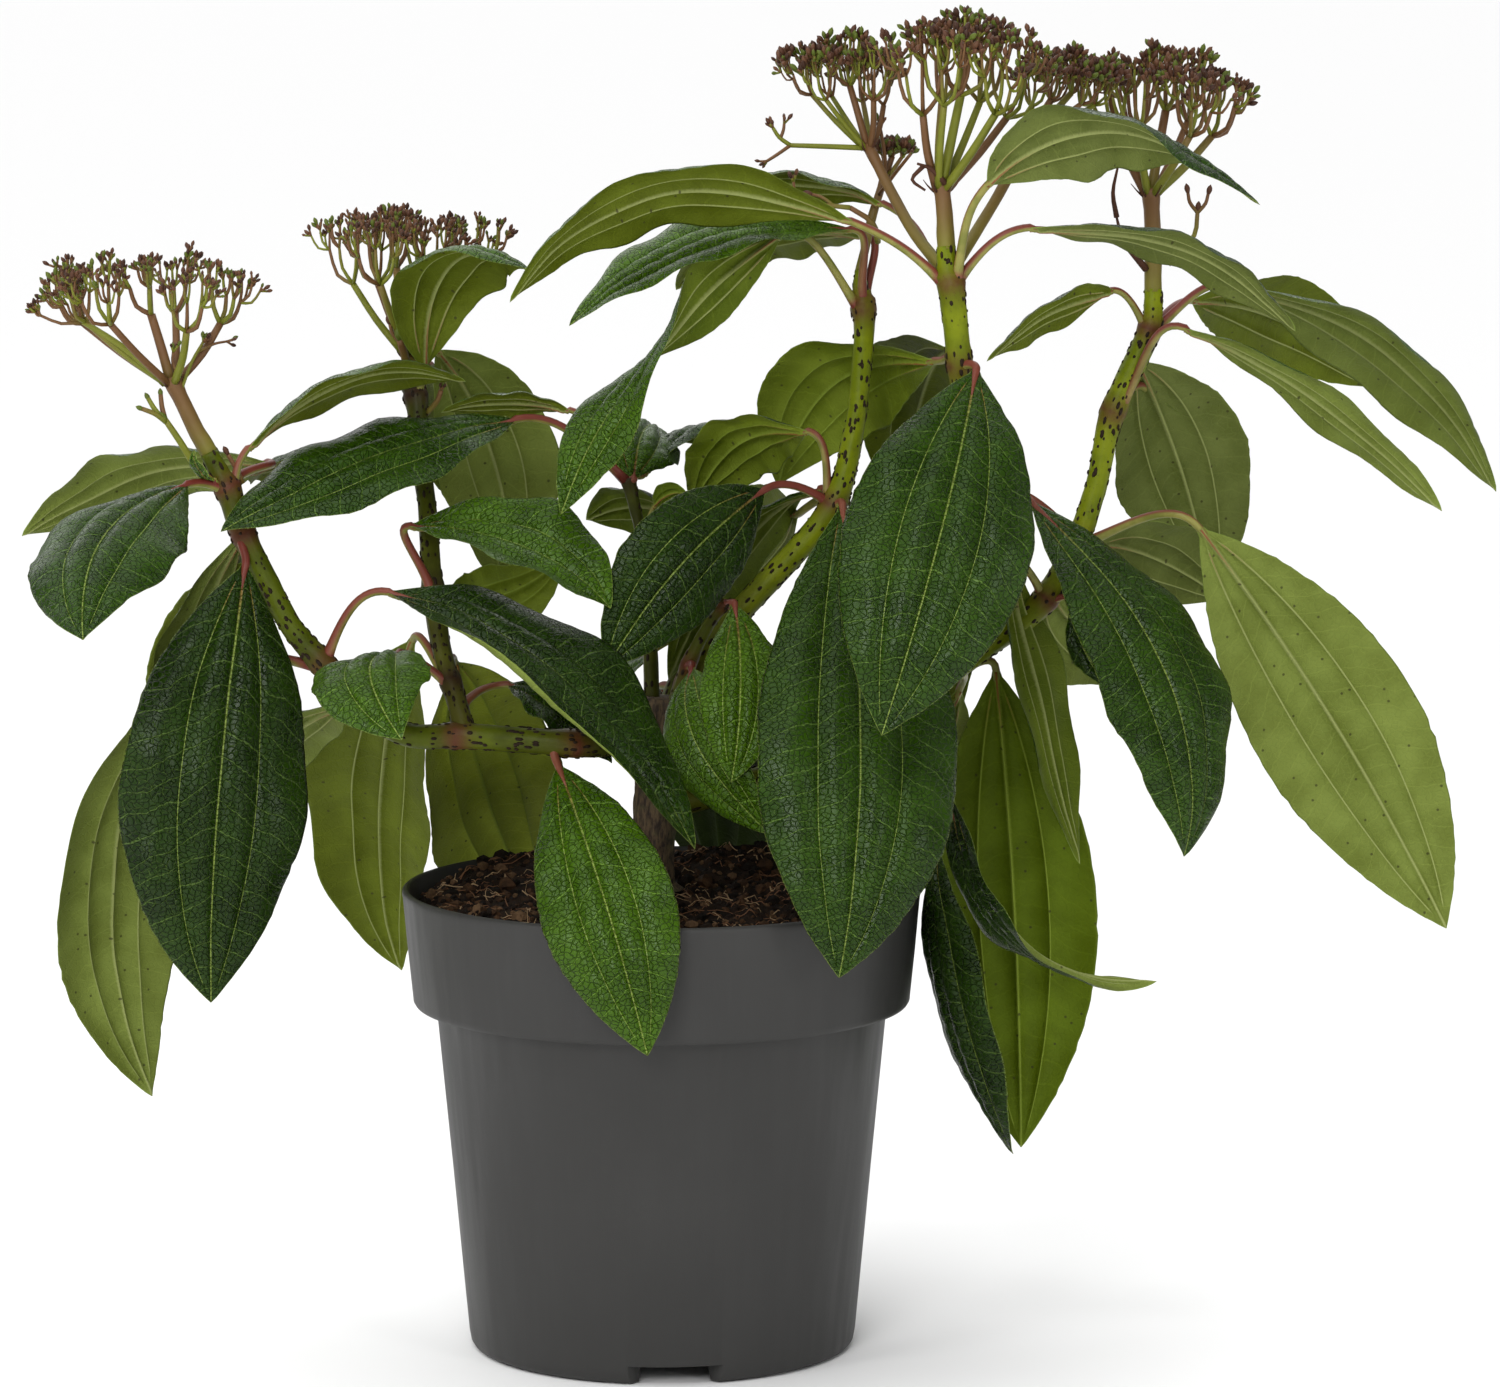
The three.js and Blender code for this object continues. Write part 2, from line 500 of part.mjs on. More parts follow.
// A notch through the foot ring: wide outside and narrow inside, so that water drains.
function drainNotch(index) {
  const outside = POT.baseRadius + 8;
  const inside = POT.baseRadius - NOTCH.depth;
  const slope = (NOTCH.outerWidth - NOTCH.innerWidth) / (2 * NOTCH.depth);
  const outerHalf = NOTCH.outerWidth / 2 + slope * 8;
  const innerHalf = NOTCH.innerWidth / 2;
  const outline = new THREE.Shape([
    new THREE.Vector2(-outerHalf, outside), new THREE.Vector2(-innerHalf, inside),
    new THREE.Vector2(innerHalf, inside), new THREE.Vector2(outerHalf, outside),
  ]);
  const wedge = new THREE.ExtrudeGeometry(outline, { depth: 7, bevelEnabled: false });
  wedge.translate(0, 0, -1);
  wedge.rotateZ(Math.PI + THREE.MathUtils.degToRad(NOTCH.turn + 360 * index / NOTCH.count));
  return toSolid(wedge);
}

function pot() {
  let shell = potShell();
  for (let index = 0; index < NOTCH.count; index++) {
    shell = shell.subtract(drainNotch(index));
  }
  return shell;
}

function soilHeight(x, y) {
  if (Math.hypot(x, y) < SOIL.seat) return SOIL.crown;
  const away = Math.hypot(x - SOIL.moundX, y - SOIL.moundY) / SOIL.moundSpread;
  return SOIL.edge + SOIL.mound * Math.exp(-away * away);
}

function soil() {
  const floor = POT.floorUnderside + POT.wall + GAP;
  const ledge = POT.collarFoot + POT.wall;
  const edgeInBody = (height) => bodyRadius(height) - POT.wall - 2 * GAP;
  const edgeInCollar = (height) => collarRadius(height) - POT.rimWall - 2 * GAP;
  const top = SOIL.edge;
  const profile = [
    [0, floor], [edgeInBody(floor) - 3.6, floor], [edgeInBody(floor + 5), floor + 5],
    [edgeInBody(ledge - 3) + 0.2, ledge + 5], [edgeInCollar(top), top], [60, top], [44, top],
    [30, top + 0.01], [18, top + 0.02], [0, top + 0.03],
  ];
  const points = profile.map(([radius, height]) => new THREE.Vector2(radius, height));
  const body = new THREE.LatheGeometry(points, POT.segments);
  body.rotateX(Math.PI / 2);
  const position = body.attributes.position;
  for (let i = 0; i < position.count; i++) {
    const [x, y, z] = [position.getX(i), position.getY(i), position.getZ(i)];
    if (z >= top && Math.hypot(x, y) < 66) position.setZ(i, soilHeight(x, y));
  }
  return toSolid(body);
}

// Assembly

addMesh("pot", pot(), COLOURS.pot);
addMesh("soil", soil(), COLOURS.soil);
addMesh("trunk", trunk(), COLOURS.trunk);

const clearance = [trunk(GAP)];
for (const [name, stem, from, to] of BOUGHS) {
  const bough = clearance.reduce((left, other) => left.subtract(other), limb(stem, from, to));
  addMesh(name, largestBody(bough), COLOURS.bough);
  clearance.push(limb(stem, from, to, GAP));
}

const leafyStems = [];
for (const [name, stem, from, to] of MASSES) {
  const parts = to > from ? [limb(stem, from, to)] : [];
  for (const [mass, at, ...shape] of LEAVES) {
    if (mass === name) parts.push(leaf(stem, at, ...shape));
  }
  const mass = clearance.reduce((left, other) => left.subtract(other), join(parts));
  addMesh(name, largestBody(mass), COLOURS.leaves);
  if (to > from) leafyStems.push(limb(stem, from, to, GAP));
}

for (const [name, stalk, radius, top, reach, seed] of HEADS) {
  const head = flowerHead(stalk, radius, top, reach, seed);
  const clear = leafyStems.reduce((left, other) => left.subtract(other), head);
  addMesh(name, largestBody(clear), COLOURS.head);
}

export default group;
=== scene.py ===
"""Potted viburnum: an evergreen shrub with large three-veined leaves, in a grower's pot.

Lengths are in millimetres until a mesh is made, then in metres.
"""
import math
import random

import bpy
import numpy as np
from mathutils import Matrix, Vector, noise


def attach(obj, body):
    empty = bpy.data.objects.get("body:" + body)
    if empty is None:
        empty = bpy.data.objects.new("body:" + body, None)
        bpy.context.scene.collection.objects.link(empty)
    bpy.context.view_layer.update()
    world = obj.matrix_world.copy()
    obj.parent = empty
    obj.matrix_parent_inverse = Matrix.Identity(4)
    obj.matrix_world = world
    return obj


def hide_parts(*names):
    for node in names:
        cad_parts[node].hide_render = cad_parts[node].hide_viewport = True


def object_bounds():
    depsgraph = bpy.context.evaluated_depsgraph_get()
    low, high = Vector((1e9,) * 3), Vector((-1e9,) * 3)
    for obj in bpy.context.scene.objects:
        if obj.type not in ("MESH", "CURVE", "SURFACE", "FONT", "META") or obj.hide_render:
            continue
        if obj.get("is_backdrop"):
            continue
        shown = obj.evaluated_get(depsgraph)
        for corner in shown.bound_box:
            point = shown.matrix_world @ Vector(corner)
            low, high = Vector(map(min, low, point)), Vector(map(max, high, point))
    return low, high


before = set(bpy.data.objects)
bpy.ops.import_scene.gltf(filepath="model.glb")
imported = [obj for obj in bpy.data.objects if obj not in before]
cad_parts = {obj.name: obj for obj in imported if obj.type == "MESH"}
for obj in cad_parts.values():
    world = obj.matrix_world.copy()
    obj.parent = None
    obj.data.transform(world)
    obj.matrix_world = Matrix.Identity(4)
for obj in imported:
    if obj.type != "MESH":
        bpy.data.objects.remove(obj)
cad_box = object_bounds()
bpy.ops.object.select_all(action="DESELECT")

MM = 0.001
UP = np.array([0.0, 0.0, 1.0])

# Camera and studio, in metres

CAMERA_PLACE = (0.029, -1.936, 0.469)
CAMERA_PITCH = 90 - 7.46
CAMERA_LENS = 143.52
WORLD_LIGHT = 0.26
PLANT_MIDDLE = (0.03, 0, 0.22)

# Where each softbox stands, its width and height, and its power
SOFTBOXES = {
    "key_light": ((-0.35, -1.9, 0.98), (0.7, 0.5), 15),
    "top_light": ((-0.2, -1.5, 1.9), (0.8, 0.5), 11),
    "side_light": ((-1.5, -1.3, 0.95), (0.5, 0.9), 10),
    "fill_light": ((1.4, -1.6, 0.75), (0.4, 0.7), 8),
}

# The wide overhead panel: its tilts and its width in degrees, and its strength
PANEL_TILT = (-24, -14)
PANEL_ANGLE = 100
PANEL_STRENGTH = 3.1
FLOOR_GREY = (0.86, 0.86, 0.86)


def set_up_camera():
    bpy.ops.object.camera_add(
        location=CAMERA_PLACE, rotation=(math.radians(CAMERA_PITCH), 0, 0)
    )
    camera = bpy.context.object
    camera.data.lens = CAMERA_LENS
    camera.data.sensor_width = 36
    camera.data.clip_end = 300
    bpy.context.scene.camera = camera


def set_up_lights():
    world = bpy.data.worlds.new("studio")
    world.use_nodes = True
    world.node_tree.nodes["Background"].inputs["Color"].default_value = (1, 1, 1, 1)
    world.node_tree.nodes["Background"].inputs["Strength"].default_value = WORLD_LIGHT
    bpy.context.scene.world = world
    bpy.context.scene.view_settings.view_transform = "Standard"
    for name, (place, size, power) in SOFTBOXES.items():
        bpy.ops.object.light_add(type="AREA", location=place)
        light = bpy.context.object
        light.name = name
        light.data.shape = "RECTANGLE"
        light.data.size, light.data.size_y = size
        light.data.energy = power
        look = Vector(PLANT_MIDDLE) - Vector(place)
        light.rotation_euler = look.to_track_quat("-Z", "Y").to_euler()
    tilt, lean = (math.radians(angle) for angle in PANEL_TILT)
    bpy.ops.object.light_add(type="SUN", rotation=(tilt, lean, 0))
    panel = bpy.context.object
    panel.name = "overhead_panel"
    panel.data.energy = PANEL_STRENGTH
    panel.data.angle = math.radians(PANEL_ANGLE)


def set_up_floor():
    bpy.ops.mesh.primitive_plane_add(size=240, location=(0, 100, -0.0004))
    floor = bpy.context.object
    floor.name = "floor"
    floor.data.materials.append(Finish("pale_floor").done(FLOOR_GREY, 0.9, 0.5))
    floor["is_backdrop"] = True


# Materials


class Shader:
    """The nodes of a material or of a group, and the ways in which they are joined here."""

    def __init__(self, tree):
        self.nodes = tree.nodes
        self.links = tree.links

    def put(self, socket, value):
        """Joins a socket to an input, or sets the input to a number, a vector or a colour."""
        if isinstance(value, bpy.types.NodeSocket):
            self.links.new(value, socket)
        elif socket.type == "RGBA":
            socket.default_value = (*value, 1)
        else:
            socket.default_value = value

    def node(self, kind, inputs, **settings):
        """A new node, with what its inputs hold or are joined to."""
        made = self.nodes.new("ShaderNode" + kind)
        for key, value in settings.items():
            setattr(made, key, value)
        for socket, value in inputs.items():
            self.put(made.inputs[socket], value)
        return made

    def mix(self, factor, first, second):
        """Mixes two colours, each a tuple or a socket, by a socket or a number."""
        return self.node("Mix", {0: factor, 6: first, 7: second}, data_type="RGBA").outputs[2]

    def ramp(self, value, low, high, to_low=0.0, to_high=1.0):
        """Maps a socket's range from low..high to to_low..to_high, smoothly and clamped."""
        inputs = {"Value": value, "From Min": low, "From Max": high, "To Min": to_low, "To Max": to_high}
        return self.node("MapRange", inputs, interpolation_type="SMOOTHSTEP").outputs["Result"]

    def fade(self, value, near, far):
        """1 up to near, 0 from far on."""
        return self.ramp(value, near, far, 1.0, 0.0)

    def maths(self, operation, first, second):
        return self.node("Math", {0: first, 1: second}, operation=operation).outputs[0]

    def plus(self, first, second):
        return self.maths("ADD", first, second)

    def times(self, first, second):
        return self.maths("MULTIPLY", first, second)

    def cloud(self, place, scale, detail=3.0, roughness=0.55):
        inputs = {"Vector": place, "Scale": scale, "Detail": detail, "Roughness": roughness}
        return self.node("TexNoise", inputs).outputs["Fac"]

    def stretched(self, place, scale):
        return self.node("Mapping", {"Vector": place, "Scale": scale}).outputs[0]

    def cells(self, place, scale, feature):
        inputs = {"Vector": place, "Scale": scale}
        made = self.node("TexVoronoi", inputs, voronoi_dimensions="2D", feature=feature)
        return made.outputs["Distance"]

    def attribute(self, name):
        return self.node("Attribute", {}, attribute_name=name).outputs["Fac"]

    def place(self):
        return self.node("TexCoord", {}).outputs["Object"]


class Finish(Shader):
    """A new material, made in steps and then done."""

    def __init__(self, name):
        self.material = bpy.data.materials.new(name)
        self.material.use_nodes = True
        super().__init__(self.material.node_tree)

    def done(self, colour, roughness, gloss, height=None, strength=1.0, depth=0.0):
        """Gives the surface its look, and a relief of a strength and a depth."""
        surface = self.nodes["Principled BSDF"].inputs
        self.put(surface["Base Color"], colour)
        self.put(surface["Roughness"], roughness)
        self.put(surface["Specular IOR Level"], gloss)
        if height is not None:
            inputs = {"Height": height, "Strength": strength, "Distance": depth * MM}
            self.put(surface["Normal"], self.node("Bump", inputs).outputs["Normal"])
        return self.material


def shade_of(colour, share):
    return tuple(share * part for part in colour)


def blade_pattern_group():
    """The pattern of a leaf blade, shared by all leaf materials.

    The UV map holds millimetres across and along the blade, moved apart for each leaf.
    """
    group = bpy.data.node_groups.new("blade_pattern", "ShaderNodeTree")
    shader = Shader(group)
    place = shader.node("UVMap", {}, uv_map="blade_mm").outputs["UV"]
    warp = shader.node("TexNoise", {"Vector": place, "Scale": 0.35, "Detail": 1.0}).outputs["Color"]
    shift = shader.node("VectorMath", {0: warp, "Scale": 2.4}, operation="SCALE").outputs[0]
    moved = shader.node("VectorMath", {0: place, 1: shift}, operation="ADD").outputs[0]

    rung = shader.plus(shader.attribute("rung"), shader.times(shader.cloud(place, 0.45, 2.0), 0.22))
    rung = shader.fade(shader.maths("PINGPONG", rung, 0.5), 0.014, 0.050)
    net = shader.cells(shader.stretched(moved, (0.85, 1.0, 1.0)), 0.44, "DISTANCE_TO_EDGE")
    patchy = shader.ramp(shader.cloud(place, 0.11, 2.0), 0.35, 0.65, 0.2, 1.0)
    crossing = shader.maths("MAXIMUM", shader.times(shader.fade(net, 0.012, 0.062), patchy), rung)
    # The cracks are sunk in the relief, and their colour is darkened as painted shade
    cracks = shader.fade(shader.cells(moved, 0.56, "DISTANCE_TO_EDGE"), 0.0, 0.12)
    ragged = shader.times(shader.cloud(place, 0.9, 2.0), 0.34)
    from_vein = shader.plus(shader.attribute("vein_mm"), ragged)
    height = shader.plus(shader.times(cracks, -0.65), shader.times(crossing, -0.7))
    height = shader.plus(height, shader.times(shader.cloud(place, 3.0, 2.0), 0.06))
    found = {
        "Main vein": shader.fade(from_vein, 0.28, 0.60),
        "Broad vein": shader.fade(from_vein, 0.40, 1.05),
        "Cross veins": crossing,
        "Crack shade": cracks,
        "Specks": shader.fade(shader.cells(place, 0.085, "F1"), 0.025, 0.05),
        "Tone": shader.cloud(place, 0.06, 2.0),
        "Height": height,
        "Margin": shader.fade(shader.attribute("rim_mm"), 0.05, 0.4),
        "Blush": shader.fade(shader.attribute("base_mm"), 1.0, 24.0),
    }
    for name in found:
        group.interface.new_socket(name=name, in_out="OUTPUT", socket_type="NodeSocketFloat")
    out = group.nodes.new("NodeGroupOutput")
    for name, socket in found.items():
        group.links.new(socket, out.inputs[name])
    return group


BLADE_PATTERN = blade_pattern_group()

VEIN_GREEN = (0.215, 0.285, 0.055)
SPECK_BROWN = (0.030, 0.026, 0.010)
PALE_LINE = (0.046, 0.064, 0.018)
RIM_GREEN = (0.16, 0.22, 0.04)
CREAM = (0.26, 0.29, 0.10)
LIME_VEIN = (0.19, 0.25, 0.03)
BLUSH_RED = (0.20, 0.035, 0.022)

# How the two sides of a blade differ: which veins, how much painted shade in the cracks, how much of the
# cross veins, and the finish
UPPER_SIDE = {"vein": "Main vein", "crack_shade": 0.36, "cross": 0.85, "rough": 0.27, "gloss": 0.18, "relief": 1.0}
UNDER_SIDE = {"vein": "Broad vein", "crack_shade": 0.08, "cross": 0.3, "rough": 0.6, "gloss": 0.09, "relief": 0.3}

UPPER_TONES = {
    "dark": ((0.0105, 0.030, 0.0002), (0.0205, 0.055, 0.0004)),
    "deep": ((0.0062, 0.0185, 0.0002), (0.0122, 0.034, 0.0003)),
    "mid": ((0.0235, 0.058, 0.0004), (0.041, 0.096, 0.0014)),
    "bright": ((0.032, 0.074, 0.0010), (0.053, 0.116, 0.0040)),
}
UNDER_TONES = {
    "olive": ((0.074, 0.094, 0.004), (0.103, 0.132, 0.009)),
    "pale": ((0.116, 0.147, 0.024), (0.158, 0.200, 0.039)),
    # A brighter copy of the olive underside: painted light for leaves that stand in shade
    "painted_light_soft": ((0.106, 0.145, 0.007), (0.149, 0.195, 0.016)),
    # A much brighter underside: painted light for a leaf that stands in shade
    "painted_light_strong": ((0.220, 0.270, 0.020), (0.290, 0.350, 0.036)),
    "lime": ((0.068, 0.100, 0.002), (0.095, 0.140, 0.006)),
    "grey": ((0.090, 0.112, 0.022), (0.125, 0.152, 0.036)),
    "shade": ((0.070, 0.100, 0.005), (0.100, 0.135, 0.011)),
    # Near black: painted shade for the leaf that hangs in deep shade behind the trunk
    "painted_deep_shade": ((0.010, 0.018, 0.001), (0.017, 0.030, 0.002)),
}


def blade_material(name, side, tones, cross, vein):
    shader = Finish(name)
    pattern = shader.node("Group", {}, node_tree=BLADE_PATTERN).outputs
    colour = shader.mix(shader.ramp(pattern["Tone"], 0.3, 0.7), *tones)
    # Painted shade in the sunk cracks: they darken toward a third of the darker tone
    colour = shader.mix(shader.times(pattern["Crack shade"], side["crack_shade"]), colour, shade_of(tones[0], 0.3))
    colour = shader.mix(shader.times(pattern["Cross veins"], side["cross"]), colour, cross)
    colour = shader.mix(shader.times(pattern[side["vein"]], 0.85), colour, vein)
    if side is UNDER_SIDE:
        colour = shader.mix(shader.times(pattern["Specks"], 0.75), colour, SPECK_BROWN)
    colour = shader.mix(pattern["Margin"], colour, RIM_GREEN)
    blush = shader.times(pattern["Blush"], pattern["Main vein"])
    colour = shader.mix(shader.times(blush, 0.8), colour, BLUSH_RED)
    roughness = shader.ramp(pattern["Tone"], 0.2, 0.8, side["rough"] - 0.05, side["rough"] + 0.08)
    return shader.done(colour, roughness, side["gloss"], pattern["Height"], side["relief"], 0.8)


def leaf_materials():
    """A material for each tone of each side, by the tone's name."""
    made = {}
    for name, tones in UPPER_TONES.items():
        cross = tuple(1.3 * part + extra for part, extra in zip(tones[1], PALE_LINE))
        made[name] = blade_material("leaf_upper_" + name, UPPER_SIDE, tones, cross, VEIN_GREEN)
    for name, tones in UNDER_TONES.items():
        cross = shade_of(tones[1], 1.25)
        # The underside in painted deep shade keeps its veins dark as well
        vein = {"lime": LIME_VEIN, "painted_light_soft": LIME_VEIN, "painted_light_strong": LIME_VEIN, "painted_deep_shade": cross}.get(name, CREAM)
        made[name] = blade_material("leaf_under_" + name, UNDER_SIDE, tones, cross, vein)
    return made


def plain_noise_material(name, dark, light, roughness=0.7):
    shader = Finish(name)
    return shader.done(shader.mix(shader.cloud(shader.place(), 300), dark, light), roughness, 0.15)


# Meshes from arrays


def unit(vector):
    return vector / np.linalg.norm(vector)


def any_side(along):
    """A way square to the given one."""
    return unit(np.cross(along, UP if abs(along[2]) < 0.9 else np.array([1.0, 0, 0])))


def level_way(spin):
    """The level way at an angle round the upright."""
    return np.array([math.cos(spin), math.sin(spin), 0.0])


def chance(seed):
    """A number from 0 to 1 that is always the same for the same seed."""
    value = math.sin(seed * 12.9898) * 43758.5453
    return value - math.floor(value)


def bell(gap, width):
    """1 where the gap is nothing, falling away smoothly over the width."""
    return np.exp(-((gap / width) ** 2))


def noise_at(places):
    return np.array([noise.noise(place) for place in places])


def quads(*corners):
    """Four-sided faces from four arrays of corners, or from single corners shared by all."""
    return np.stack(np.broadcast_arrays(*corners), -1).reshape(-1, 4)


class Heap:
    """Gathers many small closed shapes, all of one kind, to be made one mesh."""

    def __init__(self):
        self.points = []
        self.faces = []
        self.slots = []
        self.uvs = []
        self.extras = {}
        self.count = 0

    def add(self, points, faces, slots=0, uvs=None, **extras):
        self.points.append(points)
        self.faces.append(np.asarray(faces) + self.count)
        self.slots.append(np.full(len(faces), slots) if np.isscalar(slots) else slots)
        self.uvs.append(np.zeros((len(points), 2)) if uvs is None else uvs)
        for name, values in extras.items():
            self.extras.setdefault(name, []).append(values)
        self.count += len(points)

    def mesh(self, name, smooth):
        """One mesh of all the shapes. A face whose last two corners are equal is a triangle."""
        points = np.concatenate(self.points) * MM
        faces = np.concatenate(self.faces).astype(np.int32)
        sides = np.where(faces[:, 2] == faces[:, 3], 3, 4)
        keep = np.ones(faces.shape, bool)
        keep[sides == 3, 3] = False
        corners = faces[keep]
        mesh = bpy.data.meshes.new(name)
        mesh.vertices.add(len(points))
        mesh.vertices.foreach_set("co", points.astype(np.float32).ravel())
        mesh.loops.add(len(corners))
        mesh.loops.foreach_set("vertex_index", corners)
        mesh.polygons.add(len(faces))
        starts = np.concatenate([[0], np.cumsum(sides)[:-1]]).astype(np.int32)
        mesh.polygons.foreach_set("loop_start", starts)
        mesh.polygons.foreach_set("material_index", np.concatenate(self.slots).astype(np.int32))
        mesh.polygons.foreach_set("use_smooth", np.full(len(faces), smooth))
        for extra, values in self.extras.items():
            layer = mesh.attributes.new(extra, "FLOAT", "POINT")
            layer.data.foreach_set("value", np.concatenate(values).astype(np.float32))
        if self.extras:
            uvs = np.concatenate(self.uvs)[corners]
            layer = mesh.uv_layers.new(name="blade_mm")
            layer.data.foreach_set("uv", uvs.astype(np.float32).ravel())
        mesh.update(calc_edges=True)
        return mesh

    def make(self, name, materials, slot, replaces, smooth=True):
        mesh = self.mesh(name, smooth)
        for material in materials:
            mesh.materials.append(material)
        mesh.validate()
        piece = bpy.data.objects.new(name, mesh)
        bpy.context.scene.collection.objects.link(piece)
        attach(piece, "root")
        if replaces:
            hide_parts(*replaces)


def spread(values, sides):
    """One value for each ring of a tube, given to all its points."""
    return np.concatenate([np.repeat(values, sides, axis=0), values[:1], values[-1:]])


def tube(path, radii, sides, wobble=0.0, seed=0):
    """A closed round bar along a path: points, faces and how far along each point lies."""
    path = np.asarray(path, float)
    count = len(path)
    tangents = np.gradient(path, axis=0)
    tangents /= np.linalg.norm(tangents, axis=1)[:, None]
    side = any_side(tangents[0])
    angles = np.arange(sides) * math.tau / sides
    rings = []
    for i in range(count):
        side = unit(side - tangents[i] * np.dot(side, tangents[i]))
        other = np.cross(tangents[i], side)
        around = np.cos(angles)[:, None] * side + np.sin(angles)[:, None] * other
        radius = np.full(sides, radii[i])
        if wobble:
            places = [(0.35 * i + seed, 2.5 * math.cos(a), 2.5 * math.sin(a)) for a in angles]
            radius = radius + wobble * noise_at(places)
        rings.append(path[i] + around * radius[:, None])
    points = np.concatenate(rings + [path[:1], path[-1:]])
    ring = np.arange(sides)
    after = (ring + 1) % sides
    foot, head = count * sides, count * sides + 1
    last = foot - sides
    faces = []
    for low in range(0, last, sides):
        faces.append(quads(low + ring, low + after, low + sides + after, low + sides + ring))
    faces += [quads(after, ring, foot, foot), quads(last + ring, last + after, head, head)]
    return points, np.concatenate(faces), spread(np.arange(count) / (count - 1), sides)


def outward(points, path, sides):
    """The way out from a tube's middle at each of its points, and nothing at its two ends."""
    out = points - spread(path, sides)
    size = np.linalg.norm(out, axis=1)
    size[size == 0] = 1
    return out / size[:, None]


# Stems: the same curves as the solids

# Each point of a stem has its place and the stem's radius there
STEMS = {
    "left": [
        (-2, -4, 197, 4.6), (-12, -28, 203, 4.4), (-27, -50, 206, 4.3), (-62, -47, 208, 4.0),
        (-81, -43, 208, 3.9), (-98, -38, 218, 3.8), (-108, -36, 230, 4.1), (-118, -35, 242, 3.6),
        (-127, -33, 259, 3.6), (-133, -32, 271, 4.0), (-138, -30, 285, 4.2), (-140, -30, 289, 3.4),
        (-144, -29.5, 297, 3.0),
    ],
    "fork": [
        (-62, -46, 209, 3.6), (-65, -40, 219, 3.2), (-70, -30, 234, 3.1), (-73, -20, 250, 3.5),
        (-76, -4, 279, 3.0), (-79, 6, 301, 3.1), (-80, 10, 312, 3.8), (-81.6, 11.6, 317, 3.0),
        (-82, 12, 322, 2.9),
    ],
    "inner": [
        (-3, 3, 212, 2.6), (-4, 9, 237, 2.2), (-5, 15, 256, 1.9), (-8, 18, 271, 1.8),
        (-11, 20, 284, 2.3),
    ],
    "core": [(4, -3, 210, 2.4), (9, -8, 226, 2.2), (16, -12, 240, 2.0), (21, -14, 247, 1.8)],
    "back": [(-1, 4, 198, 3.4), (4, 20, 215, 3.0), (12, 30, 232, 2.8), (16, 34, 241, 2.4)],
    "mid": [
        (3, 2, 204, 4.4), (14, 2, 229, 4.2), (32, 2, 249, 4.0), (56, 2, 277, 4.2),
        (62, 4, 297, 3.3), (65, 6, 318, 3.1), (66, 8, 340, 3.6), (65, 8, 347, 2.6),
        (65, 9, 353, 1.9),
    ],
    "centre": [
        (3, -2, 190, 4.6), (39, -12, 216, 4.3), (77, -18, 251, 4.0), (99, -22, 291, 4.0),
        (96, -27, 325, 3.9), (93, -30, 351, 4.3), (92, -30, 355, 3.4), (91.5, -29.5, 363, 3.0),
    ],
    "right": [
        (2, 4, 178, 4.8), (48, 8, 192, 4.5), (80, 10, 212, 4.4), (104, 12, 228, 4.1),
        (126, 15, 245, 4.3), (136, 16, 263, 3.9), (142, 18, 280, 3.6), (148, 20, 306, 3.9),
        (160, 22, 333, 3.9), (161, 22, 338, 3.2), (161, 23, 346, 3.0),
    ],
}
INNER_STEMS = ("inner", "core", "back")

# Where each stem has a swollen knot, as a point of the stem
KNOTS = {
    "left": [2, 3.1, 6, 9, 10.2],
    "fork": [1.3, 3, 6],
    "inner": [2.3, 4],
    "core": [1, 3],
    "back": [2, 3],
    "mid": [0.6, 3, 6, 6.4],
    "centre": [2, 4, 5],
    "right": [2, 4, 5, 7, 8],
}

# Which finish a stem has, where it isn't the first
STEM_TONES = {"left": 1, "fork": 2, "inner": 2, "core": 1, "back": 1}
STEM_SIDES = 16

# How many pores there are to a millimetre of stem, and how high they stand
PORES_PER_MM = 2.3
PORE_HEIGHT = 0.34


def bend_through(points, at):
    """The place on a centripetal curve through points, at a number of points along it."""
    points = np.asarray(points, float)
    last = len(points) - 1
    low = min(int(math.floor(at)), last - 1)
    weight = at - low
    p1, p2 = points[low], points[low + 1]
    p0 = points[low - 1] if low > 0 else 2 * points[0] - points[1]
    p3 = points[low + 2] if low + 2 <= last else 2 * points[last] - points[last - 1]
    d0 = np.dot(p1 - p0, p1 - p0) ** 0.25
    d1 = np.dot(p2 - p1, p2 - p1) ** 0.25
    d2 = np.dot(p3 - p2, p3 - p2) ** 0.25
    t1 = ((p1 - p0) / d0 - (p2 - p0) / (d0 + d1) + (p2 - p1) / d1) * d1
    t2 = ((p2 - p1) / d1 - (p3 - p1) / (d1 + d2) + (p3 - p2) / d2) * d1
    c2 = -3 * p1 + 3 * p2 - 2 * t1 - t2
    c3 = 2 * p1 - 2 * p2 + t1 + t2
    return p1 + t1 * weight + c2 * weight**2 + c3 * weight**3


def stem_point(stem, at):
    return bend_through([point[:3] for point in STEMS[stem]], at)


def stem_direction(stem, at):
    last = len(STEMS[stem]) - 1
    low, high = max(0, at - 0.02), min(last, at + 0.02)
    return unit(stem_point(stem, high) - stem_point(stem, low))


def stem_radius(stem, at):
    points = STEMS[stem]
    low = min(int(math.floor(at)), len(points) - 2)
    return points[low][3] + (points[low + 1][3] - points[low][3]) * (at - low)


